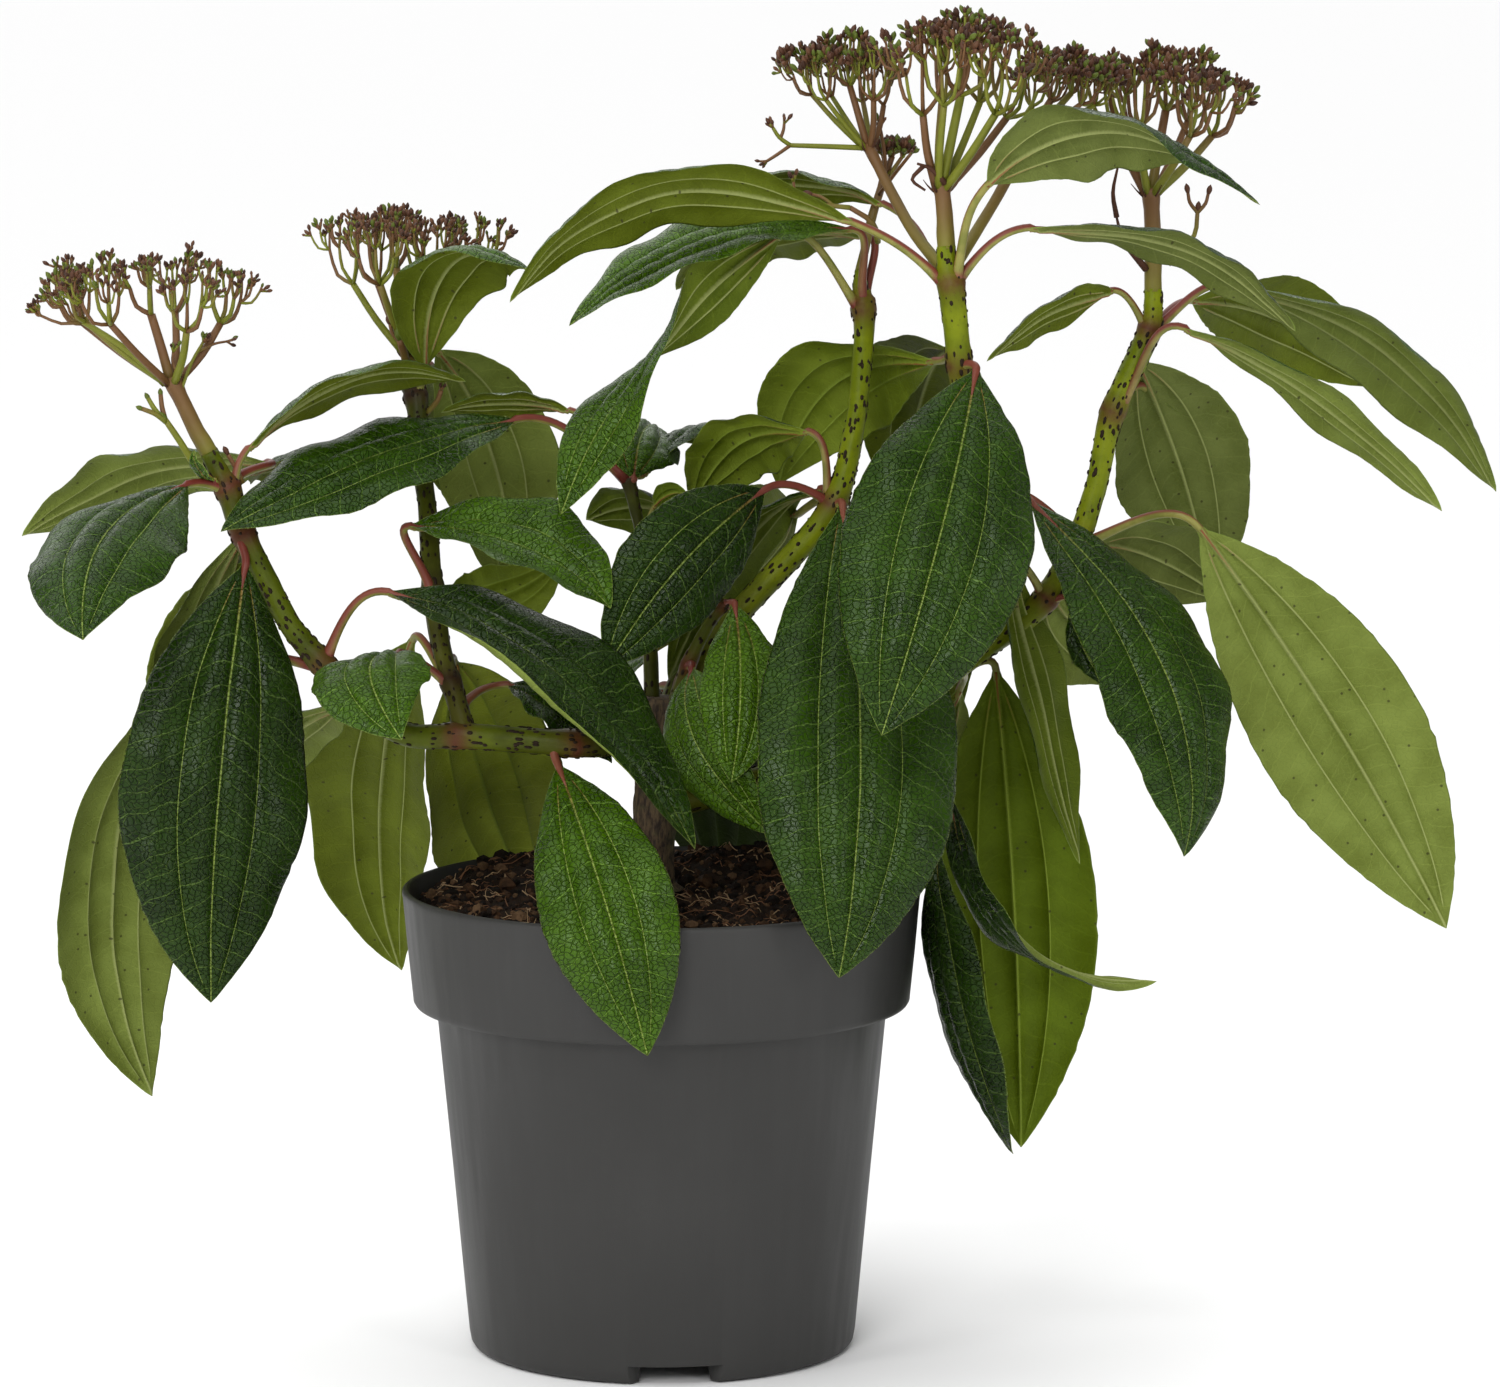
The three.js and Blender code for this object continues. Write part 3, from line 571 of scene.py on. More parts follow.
def build_stems(heap, pores):
    """Every limb as one long tapering bar with swollen knots, and its raised pores."""
    rng = random.Random(5)
    for number, (stem, points) in enumerate(STEMS.items()):
        last = len(points) - 1
        ats = np.linspace(0, last, 9 * last + 1)
        path = np.array([stem_point(stem, at) for at in ats])
        length = np.concatenate([[0], np.cumsum(np.linalg.norm(np.diff(path, axis=0), axis=1))])
        radii = np.array([stem_radius(stem, at) for at in ats])
        knot = np.zeros(len(ats))
        for at in KNOTS[stem]:
            gap = length - np.interp(at, ats, length)
            knot = np.maximum(knot, bell(gap, 4.5))
            radii = radii + 0.55 * bell(gap, 2.6) + 0.35 * bell(gap - 3.2, math.sqrt(0.5))
        bar, faces, _ = tube(path, radii, STEM_SIDES, wobble=0.35, seed=7.3 * number)
        age = np.clip(1.15 - length / 75, 0, 1) * (0.4 if stem in INNER_STEMS else 1)
        kinds = {"knot": spread(knot, STEM_SIDES), "age": spread(age, STEM_SIDES)}
        heap.add(bar, faces, STEM_TONES.get(stem, 0), None, **kinds)
        add_pores(pores, path, radii, length, 0.35 if stem in ("inner", "core") else 1.0, rng)


def add_pores(pores, path, radii, length, dense, rng):
    """Small raised brown pores, long ways along the stem, thicker on the older wood."""

    def middle(place):
        return np.array([np.interp(place, length, axis) for axis in path.T])

    for _ in range(int(length[-1] * PORES_PER_MM * dense)):
        place = length[-1] * rng.random() ** 1.15
        along = unit(middle(place + 0.5) - middle(place - 0.5))
        spin = rng.random() * math.tau
        side = any_side(along)
        out = math.cos(spin) * side + math.sin(spin) * np.cross(along, side)
        wide = rng.uniform(0.30, 0.74)
        long = wide * rng.uniform(1.0, 2.6)
        centre = middle(place) + out * (np.interp(place, length, radii) - 0.05)
        add_pore(pores, centre, along, out, long, wide)


def add_pore(pores, centre, along, out, long, wide):
    """A low rounded bump: a ring of six round a raised middle, closed underneath."""
    angles = np.arange(6)[:, None] * math.pi / 3
    ring = centre + np.cos(angles) * along * long + np.sin(angles) * np.cross(out, along) * wide
    inner = centre + 0.55 * (ring - centre) + out * PORE_HEIGHT * 0.8
    points = np.concatenate([ring, inner, [centre + out * PORE_HEIGHT], [centre - out * 0.4]])
    i = np.arange(6)
    j = (i + 1) % 6
    faces = [quads(i, j, 6 + j, 6 + i), quads(6 + i, 6 + j, 12, 12), quads(j, i, 13, 13)]
    pores.add(points, np.concatenate(faces))


def stem_material(name, dark, light, knot):
    shader = Finish(name)
    place = shader.place()
    patch = shader.cloud(place, 90)
    fine = shader.cloud(place, 900, 3.0, 0.7)
    colour = shader.mix(shader.ramp(patch, 0.35, 0.65), dark, light)
    colour = shader.mix(shader.times(shader.attribute("age"), 0.6), colour, (0.075, 0.068, 0.012))
    colour = shader.mix(shader.ramp(fine, 0.60, 0.70, 0.0, 0.55), colour, (0.06, 0.042, 0.010))
    red = shader.times(shader.attribute("knot"), shader.ramp(patch, 0.3, 0.6, 0.35, 0.95))
    return shader.done(shader.mix(red, colour, knot), 0.42, 0.12, fine, 0.4, 0.3)


def stem_materials():
    red_brown, dark_brown = (0.075, 0.020, 0.011), (0.028, 0.011, 0.008)
    return [
        stem_material("stem_bright", (0.100, 0.130, 0.001), (0.155, 0.187, 0.003), red_brown),
        stem_material("stem_olive", (0.038, 0.050, 0.001), (0.066, 0.086, 0.002), red_brown),
        stem_material("stem_dark", (0.030, 0.036, 0.003), (0.062, 0.074, 0.005), dark_brown),
    ]


# Trunk

TRUNK_PATH = [(-3, 3, 150.3), (-3, 3, 158), (-2, 2, 182), (1, 1, 214)]
TRUNK_SIDES = 40


def build_trunk():
    """The short woody trunk, with its flare at the soil and its bark in ridges."""
    shares = np.linspace(0, 1, 46)
    path = np.array([bend_through(TRUNK_PATH, 3 * share) for share in shares])
    radii = np.maximum(7.6 - 1.2 * shares, 10.5 - 30 * shares)
    points, faces, _ = tube(path, radii, TRUNK_SIDES)
    out = outward(points, path, TRUNK_SIDES)
    spin = np.arctan2(out[:, 1], out[:, 0])
    ways = list(zip(np.cos(spin), np.sin(spin), points[:, 2]))
    ridges = 0.9 * noise_at((3.2 * x, 3.2 * y, 0.06 * z) for x, y, z in ways)
    ridges += 0.5 * noise_at((9 * x, 9 * y, 0.35 * z) for x, y, z in ways)
    points = points + out * ridges[:, None]
    points[:, 2] = np.maximum(points[:, 2], TRUNK_PATH[0][2])
    heap = Heap()
    heap.add(points, faces)
    heap.make("woody_trunk", [bark_material()], "bark", ["trunk"])


def bark_material():
    shader = Finish("old_bark")
    place = shader.place()
    furrow = shader.cloud(shader.stretched(place, (1, 1, 0.25)), 900, 4.0, 0.7)
    colour = shader.mix(shader.ramp(furrow, 0.35, 0.65), (0.018, 0.010, 0.006), (0.13, 0.085, 0.042))
    algae = shader.ramp(shader.cloud(place, 120), 0.5, 0.75, 0.0, 0.6)
    return shader.done(shader.mix(algae, colour, (0.09, 0.10, 0.03)), 0.85, 0.5, furrow, 0.8, 0.8)


# Leaves: the same table as the solids, with two more leaves at its end

# Each mass has the stem that carries it. Each leaf has its point of that stem, the foot,
# middle and tip of its midrib, its width, its roll and the tones of its two sides, and may
# have a twist, a droop and a side that curls up. Its place in the table is its number.
# The underside tones are partly each leaf's own colour and partly painted light: some leaves that stand in
# shade have brighter ones
LEAVES = [
    ("left_low", "left", [
        (6, (-156, -22, 225), (-181, 4, 150), (-169, 8, 80), 50, 18, "mid", "pale"),
        (6, (-102, -20, 215), (-129, 16, 196), (-157, 34, 174), 32, -40, "mid", "pale"),
        (6, (-86, -45, 254), (-31, -62, 230), (12, -68, 175), 50, 4, "deep", "pale", 0, -0.1, 1),
    ]),
    ("left_crown", "left", [
        (9, (-132, -38, 262), (-139, -62, 193), (-142, -66, 125), 62, -32, "deep", "olive", 0, 0.2),
        (9, (-135, -26, 270), (-152, 2, 230), (-156, 10, 186), 42, -14, "mid", "pale"),
        (10.2, (-150, -40, 288), (-173, -74, 276), (-177, -104, 246), 50, -40, "dark", "olive", 0, 0.3),
        (10.2, (-127, -8, 292), (-167, 14, 287), (-210, 15, 266), 46, -26, "mid", "pale", 0, 0.1),
        (10, (-132, -26, 298), (-102, -10, 319), (-63, 0, 318), 34, -4, "mid", "olive", 0, 0.2),
        (9, (-132, -18, 261), (-147, 38, 212), (-155, 60, 151), 50, 32, "mid", "olive"),
        (10, (-133, -8, 289), (-117, 20, 291), (-99, 50, 280), 34, -20, "dark", "olive", 0, 0.2),
    ]),
    ("front", "left", [
        (2.2, (-32, -56, 200), (-16, -92, 161), (-3, -98, 114), 43, 8, "mid", "pale"),
    ]),
    ("fork_low", "fork", [
        (1.3, (-80, -15, 235), (-95, 47, 169), (-89, 67, 112), 52, 68, "mid", "olive", 0, 0.3),
        (1.6, (-67, -10, 227), (-61, 55, 176), (-42, 95, 117), 57, -12, "mid", "painted_light_strong", 0, 0.2),
        (1.3, (-83, -40, 234), (-90, -80, 233), (-79, -98, 214), 38, -30, "mid", "pale"),
        (0.8, (-49, -26, 222), (-32, -30, 217), (-15, -30, 197), 32, -2, "dark", "olive"),
    ]),
    ("fork_crown", "fork", [
        (6, (-77, 6, 321), (-67, -14, 358), (-39, -32, 355), 42, -30, "mid", "olive", 0, 0.3),
        (6, (-74, 22, 326), (-57, 44, 290), (-50, 46, 238), 43, -54, "mid", "pale", 0, 0.2),
        (3, (-80, -24, 273), (-43, -40, 268), (-15, -46, 249), 40, 0, "mid", "olive", 0, -0.3),
        (3, (-68, -8, 250), (-53, 15, 245), (-33, 30, 256), 26, 10, "mid", "painted_light_soft"),
        (6, (-76, 26, 321), (-63, 84, 295), (-55, 110, 253), 44, -16, "dark", "olive"),
    ]),
    ("inner", "inner", [
        (4, (-47, 4, 305), (-93, -24, 294), (-139, -48, 274), 42, -2, "dark", "olive", 0, 0.05),
        (4, (-30, 16, 307), (-51, 15, 310), (-72, 12, 307), 22, 6, "mid", "olive"),
        (4, (-9, 18, 284), (-7, 30, 297), (-3, 64, 298), 30, 24, "mid", "shade"),
        (4, (-6, 26, 285), (6, 46, 297), (21, 66, 292), 24, -12, "dark", "shade"),
        (2.3, (-2, 8, 276), (3, 2, 281), (9, -6, 282), 9, -50, "bright", "lime"),
        (2.3, (9, 34, 269), (-8, 50, 272), (-26, 58, 267), 32, -6, "dark", "shade", 0, 0.2),
    ]),
    ("core", "core", [
        (3, (24, -16, 247), (26, -44, 222), (23, -54, 194), 27, 22, "bright", "pale"),
        (1, (10, -18, 226), (11, -40, 206), (35, -46, 176), 34, -2, "bright", "pale"),
    ]),
    ("back", "back", [
        (3, (30, 44, 232), (44, 92, 177), (46, 122, 109), 50, -2, "dark", "olive"),
        (2, (-4, 36, 225), (-20, 70, 212), (-36, 108, 197), 40, 20, "mid", "olive"),
    ]),
    ("mid_low", "mid", [
        (3, (48, 5, 301), (26, 20, 297), (10, 28, 275), 34, 24, "dark", "painted_light_soft", 0, 0.2),
        (3, (59, -6, 278), (64, -68, 206), (57, -88, 137), 66, 6, "dark", "olive"),
        (3, (34, -6, 283), (7, -30, 261), (-17, -40, 229), 38, -40, "deep", "olive"),
        (3, (52, 8, 282), (26, 20, 262), (2, 10, 219), 32, -14, "dark", "shade", 60, 0.1),
        (3.1, (45, 24, 272), (30, 76, 253), (8, 108, 226), 42, 46, "dark", "olive"),
    ]),
    ("mid_crown", "mid", [
        (6, (39, -6, 365), (-3, -36, 330), (-31, -48, 279), 34, 42, "mid", "shade", -180, 0.1),
        (6.4, (62, 0, 367), (13, -22, 364), (-29, -30, 338), 36, 8, "bright", "olive", 0, 0),
        (6, (67, 20, 364), (32, 52, 361), (4, 74, 343), 36, 6, "dark", "olive", 0, 0.2),
    ]),
    ("centre_low", "centre", [
        (4, (89, 4, 324), (56, 40, 313), (38, 40, 280), 44, 16, "dark", "painted_light_soft", 0, 0.2),
        (4, (101, -36, 324), (88, -78, 274), (70, -90, 214), 60, 4, "dark", "olive"),
        (3, (88, 10, 278), (80, 84, 223), (74, 118, 145), 54, 20, "mid", "olive"),
        (4, (94, 0, 328), (87, 56, 309), (80, 88, 263), 46, 30, "dark", "olive"),
    ]),
    ("centre_crown", "centre", [
        (5, (61, -30, 371), (-2, -46, 380), (-47, -54, 347), 47, 34, "mid", "olive", 0, 0.15),
        (4.6, (72, 4, 375), (45, 14, 382), (14, 18, 381), 32, -20, "mid", "olive", 0, 0.2),
        (5, (104, -42, 383), (142, -56, 401), (189, -60, 378), 44, -42, "dark", "grey", 60, 0.22),
        (5, (118, -30, 369), (168, -16, 362), (205, -12, 335), 36, 2, "dark", "grey"),
    ]),
    ("right_low", "right", [
        (2, (110, 16, 221), (117, 26, 139), (119, 12, 62), 56, -4, "mid", "lime"),
        (2, (93, -26, 187), (113, -46, 142), (159, -52, 129), 32, 2, "deep", "pale", 80, 0),
        (2, (89, -14, 171), (93, -18, 117), (115, -10, 64), 38, 8, "deep", "olive", 0, 0.3),
        (2.4, (99, 46, 211), (81, 84, 161), (71, 104, 119), 44, 0, "mid", "olive", 0, 0.2),
    ]),
    ("right_mid", "right", [
        (4, (113, 4, 259), (123, 8, 211), (137, 6, 158), 34, -38, "mid", "shade", 0, 0.2),
        (4, (135, 8, 245), (141, 2, 232), (147, 0, 217), 18, 14, "deep", "olive"),
        (4, (128, 28, 246), (139, 52, 230), (158, 70, 211), 36, 28, "mid", "pale"),
        (5, (143, 22, 262), (163, 34, 257), (187, 40, 242), 36, -12, "mid", "grey"),
        (5, (175, -4, 270), (221, 14, 204), (258, 4, 137), 55, -20, "mid", "pale"),
        (5, (120, -4, 279), (162, -42, 228), (168, -48, 169), 50, 12, "dark", "grey"),
    ]),
    ("right_crown", "right", [
        (7, (156, 28, 322), (172, 60, 286), (185, 60, 242), 48, -22, "dark", "grey", 0, 0.2),
        (7, (171, 14, 334), (214, 12, 311), (255, 6, 275), 34, -6, "mid", "pale", -30, 0.1),
        (8, (187, 30, 347), (241, 44, 323), (277, 40, 278), 46, 6, "mid", "pale", 0, 0.2),
        (8, (147, 18, 346), (126, 4, 340), (105, -8, 325), 26, 50, "dark", "olive"),
        (7.2, (161, 44, 311), (178, 98, 280), (183, 124, 246), 42, 4, "dark", "olive"),
        (8, (175, 44, 341), (208, 84, 332), (242, 110, 307), 34, -24, "dark", "olive"),
    ]),
    # A leaf that hangs in the shade behind the trunk; its near-black underside is painted shade
    ("back", "back", [
        (1, (0, 30, 214), (14, 78, 184), (20, 110, 124), 50, 0, "dark", "painted_deep_shade"),
    ]),
    ("left_crown", "left", [
        (10.4, (-142, -34, 288), (-146, -39, 292), (-148, -42, 299), 7, 0, "bright", "lime"),
    ]),
]

# Where the side veins run, as a share of the half width, and how far apart the cross veins are
LATERAL = 0.42
RUNG_STEP = 7.6

# Where a curled side starts to roll up, as a share of the half width, and how tightly
CURL_FROM = 0.74
CURL_RADIUS = 4.2

# The rows of points along a blade, and how far its pattern moves on from leaf to leaf
ROWS = 60
PATTERN_SHIFT = (61.3, 17.9)

# What the blades' pattern reads: the distances to a vein, the rim and the foot, and the ladder
BLADE_KINDS = ("vein_mm", "rim_mm", "base_mm", "rung")

# The points of a stalk outside the blade, and the sides of its tube
STALK_STEPS = 15
STALK_SIDES = 12


def blade_columns(half):
    """Where the blade's columns lie across one half, from 0 to 1, close on the veins."""
    shrink = min(1.0, half / 9) / max(half, 0.3)
    near = [0.3 * shrink, 0.95 * shrink]
    lamina = [0.12, 0.21, 0.30]
    lateral = [LATERAL + step * shrink for step in (-0.95, -0.3, 0, 0.3, 0.95)]
    outer = [0.54, 0.64, 0.74, 0.83, 0.91, 0.965]
    return np.array([0.0, *near, *lamina, *lateral, *outer, 1.0])


def turn(vector, axis, angle):
    return (
        vector * math.cos(angle)
        + np.cross(axis, vector) * math.sin(angle)
        + axis * np.dot(axis, vector) * (1 - math.cos(angle))
    )


class Leaf:
    """One leaf of the table: its midrib, its stalk and the frame of its blade."""

    def __init__(
        self, number, stem, at, base, middle, tip, width, roll, upper, under,
        twist=0, droop=0.16, curl=0,
    ):
        self.number = number
        self.stem = stem
        self.at = at
        self.width = width
        self.roll = roll
        self.upper = upper
        self.under = under
        self.twist = twist
        self.droop = droop
        self.curl = curl
        self.base, middle, self.tip = (np.array(point, float) for point in (base, middle, tip))
        self.bow = middle - 0.5 * self.base - 0.5 * self.tip
        self.bend = middle + self.bow
        ribs = [self.rib(i / 20) for i in range(21)]
        self.length = sum(np.linalg.norm(after - before) for before, after in zip(ribs, ribs[1:]))

    def rib(self, t):
        return (1 - t) ** 2 * self.base + 2 * t * (1 - t) * self.bend + t * t * self.tip

    def along(self, t):
        return unit(2 * (1 - t) * (self.bend - self.base) + 2 * t * (self.tip - self.bend))

    def frame(self, t):
        """The way the upper side faces and the way across, at a share of the midrib."""
        along = self.along(t)
        face = unit(self.bow - along * np.dot(self.bow, along))
        face = turn(face, along, math.radians(self.roll + self.twist * (t - 0.5)))
        return face, np.cross(along, face)

    def half(self, t):
        bulge = math.sin(math.pi * t) ** 0.76
        bulge *= 1 - 0.30 * math.exp(-t / 0.05)
        bulge *= 1 - 0.40 * math.exp(-(1 - t) / 0.045)
        return max(0.5 * self.width * bulge, 1.3 * math.exp(-t / 0.03), 0.12)

    def stalk(self):
        """The stalk's path from inside the stem to the foot of the midrib."""
        core = stem_point(self.stem, self.at)
        along = stem_direction(self.stem, self.at)
        away = self.base - core
        away = unit(away - along * np.dot(away, along))
        root = core + away * 0.45 * stem_radius(self.stem, self.at)
        reach = np.linalg.norm(self.base - root)
        first = root + 0.45 * reach * unit(unit(self.base - root) + 0.4 * along)
        second = self.base - 0.35 * reach * self.along(0)
        shares = np.linspace(0, 1, STALK_STEPS)[:, None]
        return (
            (1 - shares) ** 3 * root + 3 * shares * (1 - shares) ** 2 * first
            + 3 * shares**2 * (1 - shares) * second + shares**3 * self.base
        )


def blade_relief(leaf, share, a, mm, side, seed):
    """How far a row of the blade stands off its plane, and its place on the ladder of cross veins."""
    half = leaf.half(share)
    y = share * leaf.length
    from_mid = np.abs(mm)
    inner = np.sin(np.pi * np.clip(a / LATERAL, 0, 1))
    outer = np.sin(np.pi * np.clip((a - LATERAL) / (1 - LATERAL), 0, 1))
    ends = min(1.0, 6 * share, 6 * (1 - share))
    puff = (0.065 * inner + 0.050 * outer) * half * ends
    shaken = noise_at((0.12 * m + seed, 0.05 * y, seed) for m in mm)
    ladder = (y - 0.55 * from_mid) / RUNG_STEP + 0.4 * shaken
    quilt = 0.62 * (np.abs(np.sin(np.pi * ladder)) ** 0.6 - 0.6) * (inner + 0.8 * outer) * ends
    groove = 0.62 * bell(from_mid, 0.8)
    groove += 0.55 * min(1.0, half / 6) * bell(np.abs(a - LATERAL) * half, 0.8)
    swell = noise_at((0.035 * m + seed, 0.028 * y, 0.4 * seed) for m in mm)
    waves = 2.2 + 1.6 * chance(leaf.number)
    wave = 0.07 * half * a**2 * np.sin(2 * np.pi * waves * share + seed + 1.7 * side)
    droop = leaf.droop * half * a**2
    return puff + quilt - groove + 1.9 * swell * ends + wave * ends - droop, ladder


def blade_row(leaf, share):
    """A row across the blade: both sides' points, the pattern's place and the distances it reads."""
    seed = leaf.number * 3.7
    half = leaf.half(share)
    columns = blade_columns(half)
    across = np.concatenate([-columns[:0:-1], columns])
    side = np.sign(across)
    a = np.abs(across)
    y = share * leaf.length
    teeth = noise_at((0.33 * y, 2.0 * s, seed) for s in side)
    mm = across * half + side * a**6 * teeth * min(0.55, 0.05 * half)
    from_mid = np.abs(mm)
    from_lateral = np.abs(a - LATERAL) * half
    lateral_on = min(1.0, half / 6)
    lift, ladder = blade_relief(leaf, share, a, mm, side, seed)
    if leaf.curl:
        rolled = np.clip(leaf.curl * across - CURL_FROM, 0, 1) * half * math.sin(math.pi * share) ** 0.4
        mm = mm - leaf.curl * (rolled - CURL_RADIUS * np.sin(rolled / CURL_RADIUS))
        lift = lift + CURL_RADIUS * (1 - np.cos(rolled / CURL_RADIUS))

    taper = 1 - 0.75 * share
    rib = 1.15 * taper * bell(from_mid, 0.95) + 0.5 * taper * lateral_on * bell(from_lateral, 0.6)
    thick = 0.5 * (1 - a**8) * min(1.0, half / 3) + rib * min(1.0, half / 2)
    face, sideways = leaf.frame(share)
    top = leaf.rib(share) + mm[:, None] * sideways + (lift + 0.1)[:, None] * face
    level = np.full(len(mm), y)
    uv = np.stack([mm, level], 1) + leaf.number * np.array(PATTERN_SHIFT)
    width = 0.45 + 0.8 * taper
    vein = np.minimum(from_mid / width, from_lateral / (0.46 * width) + 3 * (1 - lateral_on))
    return top, top - thick[:, None] * face, uv, vein, (1 - a) * half, level, ladder


def blade(leaf):
    """The blade as a closed thin shell: points, faces, which are of the underside, and the rest."""
    shares = np.linspace(0, 1, ROWS)
    shares = shares - 0.035 * np.sin(2 * np.pi * shares)
    rows = [blade_row(leaf, share) for share in shares]
    top, bottom, uv, *kinds = (np.concatenate(parts) for parts in zip(*rows))
    grid = np.arange(len(top)).reshape(ROWS, -1)
    below = grid + len(top)
    below[:, [0, -1]] = grid[:, [0, -1]]
    upper = quads(grid[:-1, :-1], grid[:-1, 1:], grid[1:, 1:], grid[1:, :-1])
    faces = np.concatenate([
        upper,
        quads(below[:-1, :-1], below[1:, :-1], below[1:, 1:], below[:-1, 1:]),
        quads(grid[0, :-1], below[0, :-1], below[0, 1:], grid[0, 1:]),
        quads(grid[-1, :-1], grid[-1, 1:], below[-1, 1:], below[-1, :-1]),
    ])
    is_under = np.arange(len(faces)) >= len(upper)
    used, faces = np.unique(faces, return_inverse=True)
    kinds = {name: np.tile(kind, 2)[used] for name, kind in zip(BLADE_KINDS, kinds)}
    points = np.concatenate([top, bottom])[used]
    return points, faces.reshape(-1, 4), is_under, np.tile(uv, (2, 1))[used], kinds


def build_leaves(materials, stalks):
    names = list(materials)
    masses = {}
    table = [(mass, stem, row) for mass, stem, rows in LEAVES for row in rows]
    for number, (mass, stem, row) in enumerate(table):
        leaf = Leaf(number, stem, *row)
        points, faces, is_under, uv, kinds = blade(leaf)
        slots = np.where(is_under, names.index(leaf.under), names.index(leaf.upper))
        masses.setdefault(mass, Heap()).add(points, faces, slots, uv, **kinds)
        add_stalk(stalks, leaf)
    for mass, heap in masses.items():
        node_name = "leaf_front" if mass == "front" else "leaves_" + mass
        heap.make("blades_" + mass, list(materials.values()), "leaf", [node_name])


def add_stalk(stalks, leaf):
    """The leaf stalk: thick where it clasps the stem, then slim, then one with the rib."""
    inside = [leaf.rib(t) - 0.75 * leaf.frame(t)[0] for t in (0.015, 0.03, 0.05, 0.075)]
    path = np.concatenate([leaf.stalk(), inside])
    shares = np.linspace(0, 1, STALK_STEPS)
    radii = np.concatenate([1.42 + 0.75 * np.exp(-shares / 0.12) - 0.12 * shares, [1.15, 1.0, 0.75, 0.4]])
    points, faces, along = tube(path, radii * min(1.0, 0.62 + leaf.width / 110), STALK_SIDES)
    upward = unit(leaf.frame(0)[0] + 0.6 * UP)
    red = np.clip(0.5 + 0.75 * outward(points, path, STALK_SIDES) @ upward, 0, 1)
    red = np.maximum(red, 1 - along * 9)
    stalks.add(points, faces, 0, None, red=red, seed=np.full(len(points), chance(leaf.number + 0.5)))


def stalk_material():
    shader = Finish("leaf_stalk")
    patch = shader.cloud(shader.place(), 160)
    green = shader.mix(shader.ramp(patch, 0.35, 0.65), (0.15, 0.18, 0.030), (0.24, 0.24, 0.055))
    red = shader.mix(shader.attribute("seed"), (0.125, 0.016, 0.014), (0.175, 0.052, 0.030))
    share = shader.ramp(shader.attribute("red"), 0.12, 0.6, 0.15, 0.97)
    return shader.done(shader.mix(share, green, red), 0.42, 0.25, patch, 0.2, 0.3)


# Flower heads: the same rule as the solids, carried to finer twigs and buds

# Each head has its stalk's points and radius, its top, its reach and the seed of its draws
HEADS = {
    "head_left": (
        [(-144.4, -29.4, 297.8), (-148, -29, 304), (-156, -28, 321)],
        3, (-164, -30, 364.5), 41, 1,
    ),
    "head_fork": (
        [(-82, 12, 322.9), (-82, 12, 327)],
        2.8, (-84, 12, 376.5), 34, 2,
    ),
    "head_mid": (
        [(65, 9, 353.8), (69, 12, 371), (73, 14, 384)],
        1.6, (76, 14, 396), 7, 3,
    ),
    "head_centre": (
        [(91.5, -29.5, 363.4), (91, -29, 372), (90, -28, 383)],
        3, (97, -36, 440), 24, 4,
    ),
    "head_centre_left": (
        [(91, -28, 355), (82, -17, 366), (74, -6, 380), (67, 0, 394)],
        2, (60, 4, 429), 22, 5,
    ),
    "head_centre_right": (
        [(94, -28, 356), (103, -14, 369), (111, -6, 382), (119, 2, 397)],
        2, (131, 4, 425), 18, 6,
    ),
    "head_right": (
        [(161, 23, 346.4), (161, 24, 359), (160, 24, 379)],
        3, (164, 26, 427), 26, 7,
    ),
}

# The rays of a head, fewer in one of small reach; one of wide reach has smaller buds
RAYS, FEW_RAYS = 6, 3
SMALL_REACH, WIDE_REACH = 12, 30
HEAD_STEPS = 12

# How many twigs a fork has at least, and their length as a share of the umbel's height
ORDERS = [(4, 0.50), (3, 0.27)]
BUD_COLOURS = [(0.075, 0.032, 0.018), (0.110, 0.050, 0.026), (0.080, 0.105, 0.014), (0.045, 0.020, 0.012)]

# A bud's rings: how far along it each lies, and its width
BUD_RINGS = [(0.0, 0.42), (0.24, 0.78), (0.52, 1.0), (0.76, 0.80), (0.93, 0.36)]

# The one long low ray of the left head and the arm at its end
LOW_RAY = [(-158.1, -30, 320.4), (-172, -30, 331.5), (-183.7, -30, 339)]
LOW_RAY_ARM = [(-183.7, -30, 339), (-190.5, -30.6, 338.4), (-197, -31, 341)]

